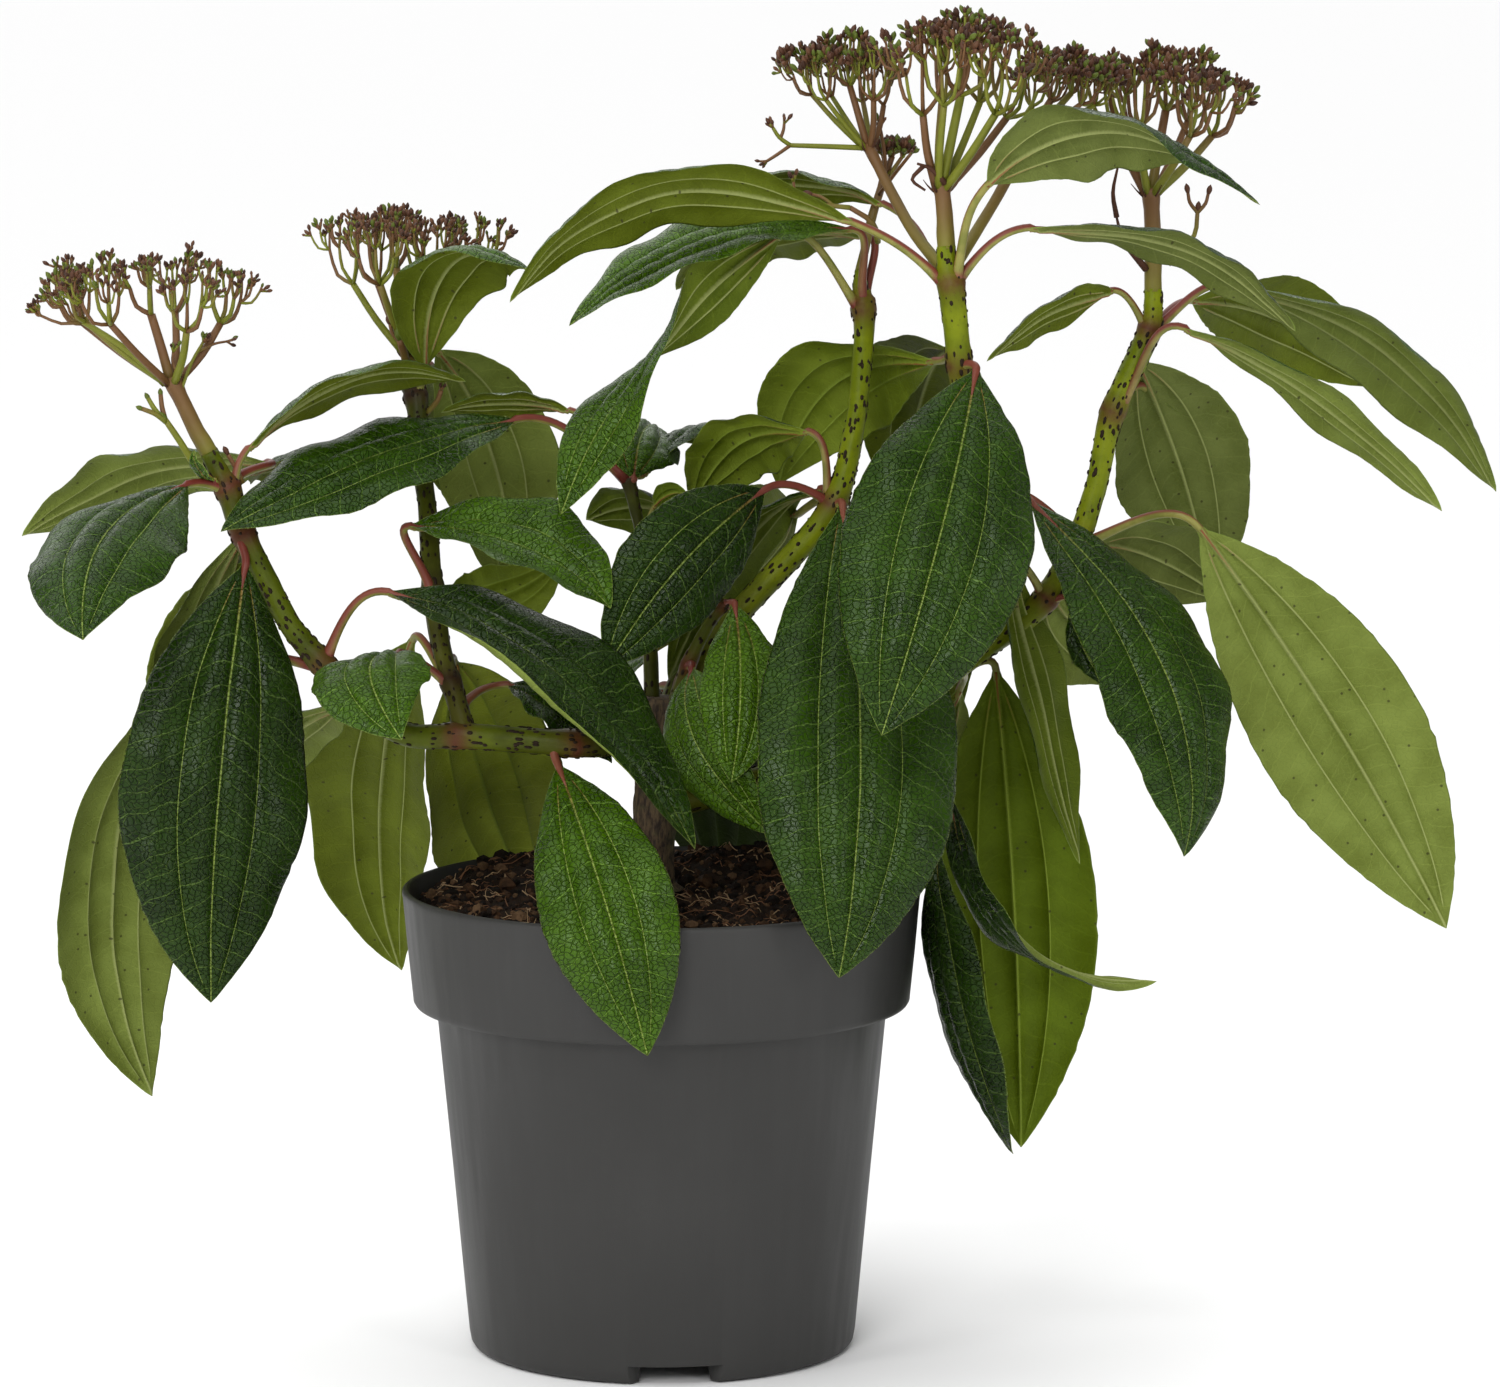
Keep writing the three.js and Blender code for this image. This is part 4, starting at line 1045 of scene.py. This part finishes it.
# Small sprigs beside the heads, by the head whose piece they join: thickness, points and end
SPRIGS = {
    "head_left": [
        (1.25, [(-145.6, -31, 288), (-152.7, -35, 301), (-157.2, -37, 308.2)], "blunt"),
        (0.95, [(-157, -37, 307.6), (-160, -39.4, 310.2), (-164.2, -40.4, 312)], "blunt"),
        (0.95, [(-157, -37, 307.6), (-160.4, -37, 311.5), (-162.6, -36, 315)], "blunt"),
        (0.95, [(-157, -37, 307.6), (-158.3, -35, 312), (-158.8, -34, 316)], "blunt"),
        (0.85, [(-133.6, -26, 287), (-136.5, -28, 293.4), (-138, -29, 296.4)], "bud"),
        (0.60, [(-153.4, -30, 315), (-149.4, -27, 325.9), (-146, -24, 332)], "cluster"),
        (0.50, [(-147.6, -25, 329), (-142.4, -22.6, 331.4), (-138.8, -20.6, 332)], "cluster"),
        (0.55, [(-154, -29, 322), (-155.6, -26.6, 326), (-155.4, -26.4, 329)], "cluster"),
    ],
    "head_fork": [
        (1.6, [(-81.5, 10, 318), (-83.4, 4.5, 326), (-84.6, 2.5, 331)], "blunt"),
        (0.7, [(-84.4, 2.6, 330), (-87, 2.2, 333), (-87.8, 2, 336)], "bud"),
        (0.7, [(-84.4, 2.6, 330), (-83.4, 1.6, 333), (-82.6, 0.4, 336.4)], "bud"),
        (1.0, [(-76.4, 8, 306.5), (-72.6, 5, 311), (-71.4, 4, 314.4)], "cluster"),
    ],
    "head_mid": [
        (1.05, [(70.4, 2, 362.6), (68.3, -5, 369.4), (61.2, -8, 374.2)], "none"),
        (0.85, [(61.2, -8, 374.2), (54, -8.4, 374.9), (45.6, -8.4, 375.2)], "cluster"),
        (0.6, [(47, -8.4, 375.2), (43.6, -8.8, 378.4), (43, -9, 382.6)], "cluster"),
        (0.6, [(56, -8.3, 374.8), (52, -7.6, 377.6), (49, -7, 378.4)], "bud"),
        (0.75, [(73, 13, 383), (72.6, 8, 391), (71, 4, 399.6)], "cluster"),
        (0.7, [(71, 11.6, 377.6), (76.6, 2, 385.6), (81, -5, 391.6)], "cluster"),
    ],
    "head_centre_left": [
        (0.95, [(67, 0, 393), (53.5, -2, 393.6), (42, -3, 394)], "none"),
        (0.75, [(42, -3, 394), (38.4, -3, 396.6), (36.4, -3, 399.6)], "cluster"),
        (0.65, [(42, -3, 394), (37.6, -4.4, 391), (34.4, -5, 389)], "cluster"),
        (0.6, [(38.8, -3, 396.2), (39.8, -3, 399), (40, -3, 401)], "cluster"),
    ],
    "head_centre": [
        (1.1, [(91, -31, 383), (86.6, -33, 387.6), (82, -34, 389.4)], "dry"),
        (0.8, [(84, -33.6, 388.6), (80.4, -35, 384.4), (84.6, -35.4, 381)], "dry"),
    ],
    "head_right": [
        (1.25, [(158.6, 22, 352.6), (150.6, 17, 362.6), (148.4, 15, 370)], "dry"),
        (0.95, [(148.4, 15, 370), (147, 13, 378), (148.4, 12.6, 386)], "dry"),
        (0.9, [(166, 24, 354), (174.4, 24, 363.6), (175.4, 24, 371.6)], "bud"),
        (0.7, [(175.4, 24, 371), (172.8, 24, 374.4), (172.2, 24, 377.4)], "bud"),
        (0.7, [(175.4, 24, 371), (178, 24, 374), (178.8, 24, 377)], "bud"),
    ],
}


def add_bud(buds, foot, direction, size, slot):
    """A bud, narrow at its foot, fullest past its middle, with a small point."""
    path = [foot + direction * size * 3.0 * share for share, _ in BUD_RINGS]
    points, faces, _ = tube(path, [0.86 * size * width for _, width in BUD_RINGS], 7)
    points[-2] = foot - direction * 0.1 * size
    points[-1] = foot + direction * size * 3.15
    buds.add(points, faces, slot)


def add_twig(twigs, points, thick, thin, sides=6, steps=4, slot=0):
    """A tapering twig through points; each has its own blush."""
    last = len(points) - 1
    path = np.array([bend_through(points, last * i / steps) for i in range(steps + 1)])
    round_points, faces, along = tube(path, np.linspace(thick, thin, steps + 1), sides)
    luck = chance(path[0][0] * 3 + path[-1][1])
    twigs.add(round_points, faces, slot, None, blush=np.clip(along * 0.35 + 1.1 * luck - 0.15, 0, 1))


def fork_ways(aim, count, wide, rng):
    """The ways that the twigs of a fork take: a ring leaning out from aim, and one along it."""
    side = unit(np.cross(aim, np.array([0.3, 1.0, 0.1])))
    other = np.cross(aim, side)
    turned = rng.uniform(0, 2 * math.pi)
    for twig in range(count):
        lean = turned + 2 * math.pi * (twig + rng.uniform(-0.22, 0.22)) / count
        out = 0.15 if twig == 0 else wide * rng.uniform(0.8, 1.2)
        yield unit(aim + out * (math.cos(lean) * side + math.sin(lean) * other))


def spread_umbel(twigs, buds, rng, fork, aim, tall, thick, size, order=0):
    """Twigs from a fork that fork again; the last of them end in short stalks, each with a bud."""
    count, share = ORDERS[order]
    for way in fork_ways(aim, count + rng.randint(0, 1), 0.95 if order == 0 else 0.72, rng):
        rise = unit(way + 0.45 * UP)
        end = fork + share * tall * rng.uniform(0.74, 1.2) * rise
        bend = fork + 0.5 * np.linalg.norm(end - fork) * unit(way - 0.12 * UP)
        add_twig(twigs, [fork, bend, end], thick, 0.72 * thick)
        if order + 1 < len(ORDERS):
            spread_umbel(twigs, buds, rng, end, rise, tall, 0.66 * thick, size, order + 1)
        else:
            add_cluster(twigs, buds, rng, end, rise, size)


def add_cluster(twigs, buds, rng, end, aim, size):
    for way in fork_ways(aim, rng.randint(3, 4), 0.72, rng):
        tip = end + rng.uniform(0.8, 2.8) * way
        add_twig(twigs, [end, tip], 0.42, 0.40, 5, 1)
        add_bud(buds, tip - 0.25 * way, unit(way + 0.2 * UP), size * rng.uniform(0.6, 1.1), rng.randrange(4))


def add_ray(twigs, hub, crown, radius, reach, seed, number, rays):
    """A ray from the hub with the bract under it: where it forks, the way it aims and its thickness."""
    luck = chance(100 * seed + number)
    spin = math.tau * (number + 0.5 * luck) / rays + seed
    way = level_way(spin)
    out = 0.1 * reach if number == 0 else reach * (0.44 + 0.2 * luck)
    low = 0.96 + 0.7 * (out / reach) ** 2 + 0.2 * chance(37 * seed + number)
    fork = crown + out * way - 0.46 * np.linalg.norm(crown - hub) * low * UP
    foot = hub + (0 if number == 0 else 0.55 * radius) * way - 0.6 * radius * UP
    thick = 0.40 * radius + (0.5 if number == 0 else 0.1 + 0.3 * luck)
    add_twig(twigs, [foot, 0.5 * (foot + fork) + 0.06 * out * way, fork], thick, 0.8 * thick, 8, 6)
    scale = hub + 0.8 * radius * way - 0.9 * radius * UP
    tip = scale + (0.6 + luck) * radius * way + (2.6 + 2 * luck) * UP
    bract = [scale, scale + 0.5 * radius * way + 1.2 * UP, tip]
    return fork, unit(unit(fork - foot) + 0.6 * UP), thick, bract


def build_heads(pieces):
    """Each head: its stalk, its rays from a hub, and the umbel that each ray carries."""
    for name, (stalk, radius, top, reach, seed) in HEADS.items():
        twigs, buds = pieces.setdefault(name, (Heap(), Heap()))
        rng = random.Random(seed)
        stalk = np.array(stalk, float)
        hub, crown = stalk[-1], np.array(top, float)
        sunk = stalk[0] - unit(stalk[1] - stalk[0]) * 1.2
        last = len(stalk) - 1
        curve = [bend_through(stalk, last * i / HEAD_STEPS) for i in range(HEAD_STEPS + 1)]
        path = np.array([sunk, *curve])
        radii = radius * (1 - 0.15 * np.linspace(0, 1, len(path)))
        radii[-2:] *= 1.14
        points, faces, along = tube(path, radii, 12, wobble=0.2, seed=seed)
        twigs.add(points, faces, 0, None, blush=0.42 + 0.3 * along)
        tall = (0.46 * np.linalg.norm(crown - hub) - 3.5) / 0.72
        rays = FEW_RAYS if reach < SMALL_REACH else RAYS
        size = 0.82 if reach > WIDE_REACH else 1.05
        for number in range(rays + 1):
            fork, aim, thick, bract = add_ray(twigs, hub, crown, radius, reach, seed, number, rays)
            spread_umbel(twigs, buds, rng, fork, aim, tall, 0.55 * thick, size)
            add_twig(twigs, bract, 0.5, 0.12, 5, 3, 1)


def add_low_ray(twigs, buds):
    rng = random.Random(3)
    add_twig(twigs, LOW_RAY, 1.15, 0.95, 8, 6)
    add_twig(twigs, LOW_RAY_ARM, 0.65, 0.5)
    for ray, aim, tall, thick, size, order in (
        (LOW_RAY, (-0.3, 0, 1), 15, 0.6, 0.78, 0),
        (LOW_RAY_ARM, (-0.8, 0, 0.7), 9, 0.45, 0.7, 1),
    ):
        fork, way = np.array(ray[-1], float), unit(np.array(aim))
        spread_umbel(twigs, buds, rng, fork, way, tall, thick, size, order)


def add_sprigs(pieces):
    rng = random.Random(17)
    for name, sprigs in SPRIGS.items():
        twigs, buds = pieces[name]
        for thick, points, end in sprigs:
            dry = end == "dry"
            add_twig(twigs, points, thick, 0.4 if dry else 0.8 * thick, 7, 6, 1 if dry else 0)
            tip = np.array(points[-1], float)
            aim = unit(tip - np.array(points[-2], float))
            if end == "blunt":
                add_bud(buds, tip - 0.9 * aim, aim, 1.05 * thick, 2)
            elif end == "bud":
                add_bud(buds, tip - 0.3 * aim, aim, 1.15, 0)
            elif end == "cluster":
                add_cluster(twigs, buds, rng, tip, aim, 0.85)


def twig_material():
    shader = Finish("flower_stalk")
    patch = shader.cloud(shader.place(), 200, 2.0)
    green = shader.mix(patch, (0.115, 0.135, 0.010), (0.185, 0.205, 0.018))
    share = shader.ramp(shader.attribute("blush"), 0.25, 0.75, 0.08, 0.92)
    return shader.done(shader.mix(share, green, (0.125, 0.050, 0.022)), 0.5, 0.25, patch, 0.3, 0.3)


# Pot

POT_SEGMENTS = 144

# Radius and height round the pot's wall, from the middle of the foot to the floor inside
POT_PROFILE = [
    (14, 0), (14.8, 1.0), (15, 6), (56.7, 6), (57.8, 5.2), (58.7, 0), (61.2, 0),
    (62.4, 0.5), (63.2, 1.7), (63.8, 5), (68.9, 60), (73.95, 112.6), (74.6, 113.5),
    (79.5, 113.7), (80.9, 114.0), (81.5, 115.0), (81.6, 116.2), (83.2, 132), (84.7, 149),
    (85.0, 150.2), (84.9, 151.3), (84.2, 151.9), (83.4, 152.0), (82.9, 151.7), (82.6, 151.0),
    (80.1, 117.7), (73.2, 115.3), (62.2, 10.6), (59, 7.6),
]

# The drain notches in the foot ring: the first one's angle, and each one's measures
NOTCHES = 3
NOTCH_TURN = 184.7
NOTCH_MIDDLE = 62.7
NOTCH_DEPTH = 18.0
NOTCH_BOTTOM, NOTCH_TOP = -1.0, 6.0
NOTCH_HALF = 8.0
NOTCH_FLARE = 0.9


def build_pot():
    """The wall is drawn up ring by ring from a circle, closed, and then notched at its foot."""
    bpy.ops.mesh.primitive_circle_add(
        vertices=POT_SEGMENTS, radius=POT_PROFILE[0][0] * MM, location=(0, 0, 0), fill_type="NGON"
    )
    pot = bpy.context.object
    pot.name = "grower_pot"
    bpy.ops.object.mode_set(mode="EDIT")
    bpy.ops.mesh.select_mode(type="EDGE")
    bpy.ops.mesh.select_all(action="DESELECT")
    bpy.ops.mesh.select_non_manifold(extend=False)
    for (radius, height), (wider, higher) in zip(POT_PROFILE, POT_PROFILE[1:]):
        bpy.ops.mesh.extrude_edges_move(
            TRANSFORM_OT_translate={"value": (0, 0, (higher - height) * MM)}
        )
        scale = wider / radius
        bpy.ops.transform.resize(value=(scale, scale, 1), center_override=(0, 0, 0))
    bpy.ops.mesh.edge_face_add()
    bpy.ops.mesh.select_all(action="SELECT")
    bpy.ops.mesh.normals_make_consistent(inside=False)
    bpy.ops.object.mode_set(mode="OBJECT")
    for index in range(NOTCHES):
        cut_notch(pot, math.radians(NOTCH_TURN + 360 / NOTCHES * index))
    bevel = pot.modifiers.new("soft_edges", "BEVEL")
    bevel.width = 0.4 * MM
    bevel.segments = 2
    bevel.limit_method = "ANGLE"
    bevel.angle_limit = math.radians(40)
    bpy.context.view_layer.objects.active = pot
    bpy.ops.object.modifier_apply(modifier="soft_edges")
    bpy.ops.object.select_all(action="DESELECT")
    pot.select_set(True)
    bpy.ops.object.shade_smooth_by_angle(angle=math.radians(35))
    pot.data.materials.clear()
    pot.data.materials.append(pot_material())
    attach(pot, "root")
    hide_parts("pot")


def cut_notch(pot, spin):
    """A drain notch through the foot ring, wide outside and narrow inside."""
    bpy.ops.object.select_all(action="DESELECT")
    bpy.ops.mesh.primitive_cube_add(size=1, location=(0, 0, 0))
    wedge = bpy.context.object
    for corner in wedge.data.vertices:
        side, out, level = (1 if value > 0 else -1 for value in corner.co)
        x = side * (NOTCH_HALF + (NOTCH_FLARE * NOTCH_DEPTH if out > 0 else 0))
        y = NOTCH_MIDDLE + out * NOTCH_DEPTH / 2
        z = NOTCH_TOP if level > 0 else NOTCH_BOTTOM
        corner.co = (
            (x * math.cos(spin) - y * math.sin(spin)) * MM,
            (x * math.sin(spin) + y * math.cos(spin)) * MM,
            z * MM,
        )
    cut = pot.modifiers.new("notch", "BOOLEAN")
    cut.operation = "DIFFERENCE"
    cut.object = wedge
    cut.solver = "EXACT"
    bpy.context.view_layer.objects.active = pot
    bpy.ops.object.modifier_apply(modifier="notch")
    bpy.data.objects.remove(wedge)


def pot_material():
    shader = Finish("pot_plastic")
    place = shader.place()
    cloud = shader.cloud(place, 14, 4.0)
    streak = shader.cloud(shader.stretched(place, (1, 1, 0.08)), 160)
    grain = shader.cloud(place, 2600, 2.0, 0.6)
    colour = shader.mix(shader.ramp(cloud, 0.3, 0.7), (0.0235, 0.023, 0.0215), (0.028, 0.0275, 0.026))
    colour = shader.mix(shader.ramp(streak, 0.55, 0.8, 0.0, 0.35), colour, (0.037, 0.036, 0.034))
    roughness = shader.ramp(shader.plus(cloud, streak), 0.7, 1.3, 0.46, 0.6)
    return shader.done(colour, roughness, 0.35, shader.plus(grain, shader.times(streak, 0.6)), 0.12, 0.4)


# Soil

PEAT_TOP = 158.0
PEAT_FOOT = 128.0
PEAT_RADIUS = 81.6
PEAT_FOOT_RADIUS = 80.2
PEAT_RINGS = 74
PEAT_SIDES = 150
CRUMBS = 2200
FIBRES = 430
FIBRE_STEPS = 7

# How far out the peat is level, and how far out crumbs and fibres lie
LEVEL_REACH = 68
CRUMB_REACH = 79
FIBRE_REACH = 77
BED_REACH = 80

# The two mounds of the peat: middle, height and width
MOUNDS = [((-42, 34), 8.5, 30), ((30, 66), 7.5, 30)]
TRUNK_SPOT = (-3, 3)
TRUNK_CLEAR = 11


def soil_height(x, y):
    """The peat's level: the solid's mound and a second one, with lumps and pits on them."""
    level = 147.0
    for (middle_x, middle_y), height, width in MOUNDS:
        level += height * bell(math.hypot(x - middle_x, y - middle_y), width)
    near_trunk = bell(math.dist((x, y), TRUNK_SPOT), 16)
    lumps = 1.8 * noise.noise((0.09 * x, 0.09 * y, 1.0)) + 2.0 * noise.noise((0.22 * x, 0.22 * y, 4.0))
    fine = 1.3 * noise.noise((0.55 * x, 0.55 * y, 9.0)) + 0.6 * noise.noise((1.4 * x, 1.4 * y, 2.0))
    edge = max(0.0, math.hypot(x, y) - LEVEL_REACH) / 12
    return level + lumps + fine + 2.2 * near_trunk - 2.2 * edge * edge


def peat_point(radius, spin):
    x, y, _ = radius * level_way(spin)
    return x, y, min(soil_height(x, y), PEAT_TOP)


def build_peat():
    """The bed's top, ring by ring, with its wall and its underside."""
    sides = PEAT_SIDES
    points = []
    for ring in range(PEAT_RINGS + 1):
        radius = PEAT_RADIUS * (ring + 0.5) / (PEAT_RINGS + 0.5)
        points += [peat_point(radius, math.tau * (side + 0.5 * (ring % 2)) / sides) for side in range(sides)]
    top = len(points)
    points.append(peat_point(0, 0))
    for side in range(sides):
        points.append(PEAT_FOOT_RADIUS * level_way(math.tau * side / sides) + PEAT_FOOT * UP)
    foot = len(points)
    points.append((0, 0, PEAT_FOOT))
    i = np.arange(sides)
    j = (i + 1) % sides
    rim, wall = PEAT_RINGS * sides, top + 1
    faces = [quads(top, i, j, j)]
    faces += [quads(low + i, low + sides + i, low + sides + j, low + j) for low in range(0, rim, sides)]
    faces += [quads(rim + i, wall + i, wall + j, rim + j), quads(wall + j, wall + i, foot, foot)]
    heap = Heap()
    heap.add(np.array(points, float), np.concatenate(faces))
    peat = soil_material("peat", (0.005, 0.003, 0.002), (0.026, 0.014, 0.008))
    heap.make("peat_bed", [peat], "soil", ["soil"])


def scatter(rng, reach):
    """A place on the bed, no further out than reach."""
    radius, spin = reach * math.sqrt(rng.random()), rng.random() * math.tau
    return radius * math.cos(spin), radius * math.sin(spin)


def build_crumbs(rng):
    """Loose crumbs of peat and bark."""
    crumbs = Heap()
    for _ in range(CRUMBS):
        x, y = scatter(rng, CRUMB_REACH)
        if math.dist((x, y), TRUNK_SPOT) < TRUNK_CLEAR:
            continue
        size = rng.uniform(0.5, 1.4) * (2.2 if rng.random() < 0.1 else 1)
        add_crumb(crumbs, (x, y, min(soil_height(x, y) + 0.25 * size, PEAT_TOP)), size, rng)
    crumbs.make("peat_crumbs", [
        soil_material("peat_dark", (0.004, 0.003, 0.002), (0.016, 0.009, 0.006)),
        soil_material("peat_brown", (0.024, 0.012, 0.006), (0.068, 0.034, 0.016)),
        soil_material("peat_bark", (0.060, 0.033, 0.016), (0.130, 0.076, 0.040)),
    ], "soil", None, smooth=False)


def build_fibres(rng):
    """The thin pale fibres and roots that lie among the crumbs."""
    fibres = Heap()
    for _ in range(FIBRES):
        x, y = scatter(rng, FIBRE_REACH)
        way, curl = rng.random() * math.tau, rng.uniform(-0.5, 0.5)
        step = rng.uniform(3, 14) * (2 if rng.random() < 0.1 else 1) / FIBRE_STEPS
        thick = rng.uniform(0.1, 0.26)
        lift = rng.uniform(0.1, 1.4)
        path = []
        for share in np.linspace(0, 1, FIBRE_STEPS + 1):
            high = soil_height(x, y) + 0.2 + lift * math.sin(math.pi * share)
            path.append((x, y, min(high, PEAT_TOP + 0.6)))
            x += math.cos(way) * step
            y += math.sin(way) * step
            way += curl
            if math.hypot(x, y) > BED_REACH:
                way += 2.2
        points, faces, _ = tube(path, thick * np.linspace(1, 0.5, FIBRE_STEPS + 1), 5)
        fibres.add(points, faces, 0 if rng.random() < 0.6 else 1)
    fibres.make("peat_fibres", [
        plain_noise_material("fibre_brown", (0.10, 0.045, 0.022), (0.18, 0.09, 0.045)),
        plain_noise_material("fibre_tan", (0.24, 0.15, 0.08), (0.36, 0.25, 0.14)),
    ], "soil", None)


def add_crumb(crumbs, centre, size, rng):
    """A rough lump with twelve corners."""
    points = []
    for level, count, width in ((-0.7, 3, 0.6), (-0.15, 4, 1.0), (0.45, 4, 0.8), (0.8, 1, 0.0)):
        for i in range(count):
            spin = math.tau * (i + rng.uniform(-0.25, 0.25)) / count
            reach = size * width * rng.uniform(0.7, 1.25)
            points.append(reach * level_way(spin) + size * level * UP)
    triangles = [
        (0, 2, 1), (0, 1, 4), (0, 4, 3), (1, 2, 5), (1, 5, 4), (2, 0, 6), (2, 6, 5), (0, 3, 6),
        (3, 4, 8), (3, 8, 7), (4, 5, 9), (4, 9, 8), (5, 6, 10), (5, 10, 9), (6, 3, 7), (6, 7, 10),
        (7, 8, 11), (8, 9, 11), (9, 10, 11), (10, 7, 11),
    ]
    faces = np.array([(a, b, c, c) for a, b, c in triangles])
    crumbs.add(np.array(points) + np.array(centre), faces, rng.choice((0, 0, 0, 1, 1, 2)))


def soil_material(name, dark, light):
    shader = Finish(name)
    place = shader.place()
    cloud = shader.cloud(place, 220, 5.0, 0.7)
    height = shader.plus(cloud, shader.times(shader.cloud(place, 1500, 3.0, 0.7), 0.4))
    colour = shader.mix(shader.ramp(cloud, 0.35, 0.7), dark, light)
    return shader.done(colour, shader.ramp(cloud, 0.3, 0.7, 0.7, 0.95), 0.12, height, 0.9, 1.0)


# Assembly


def build_stems_and_leaves():
    stems, pores, stalks = Heap(), Heap(), Heap()
    build_stems(stems, pores)
    boughs = ["bough_left", "bough_mid", "bough_centre", "bough_right"]
    stems.make("green_stems", stem_materials(), "stem", boughs)
    pore_brown = plain_noise_material("pore_brown", (0.007, 0.004, 0.002), (0.026, 0.014, 0.006))
    pores.make("stem_pores", [pore_brown], "stem", None)
    build_leaves(leaf_materials(), stalks)
    stalks.make("leaf_stalks", [stalk_material()], "leaf", None)


def build_flower_heads():
    pieces = {}
    build_heads(pieces)
    add_low_ray(*pieces["head_left"])
    add_sprigs(pieces)
    bud_materials = [
        plain_noise_material(f"bud_{index}", shade_of(colour, 0.7), shade_of(colour, 1.3), 0.42)
        for index, colour in enumerate(BUD_COLOURS)
    ]
    dry_scale = plain_noise_material("dry_scale", (0.030, 0.013, 0.008), (0.085, 0.034, 0.018))
    stalk_colours = [twig_material(), dry_scale]
    for name, (twigs, buds) in pieces.items():
        twigs.make(name + "_stalks", stalk_colours, "blossom", [name])
        buds.make(name + "_buds", bud_materials, "blossom", None)


set_up_camera()
set_up_lights()
set_up_floor()
build_pot()
build_peat()
loose = random.Random(3)
build_crumbs(loose)
build_fibres(loose)
build_trunk()
build_stems_and_leaves()
build_flower_heads()

boxes = {"cad": cad_box, "visual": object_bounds()}
{name: [list(corner) for corner in box] for name, box in boxes.items()}
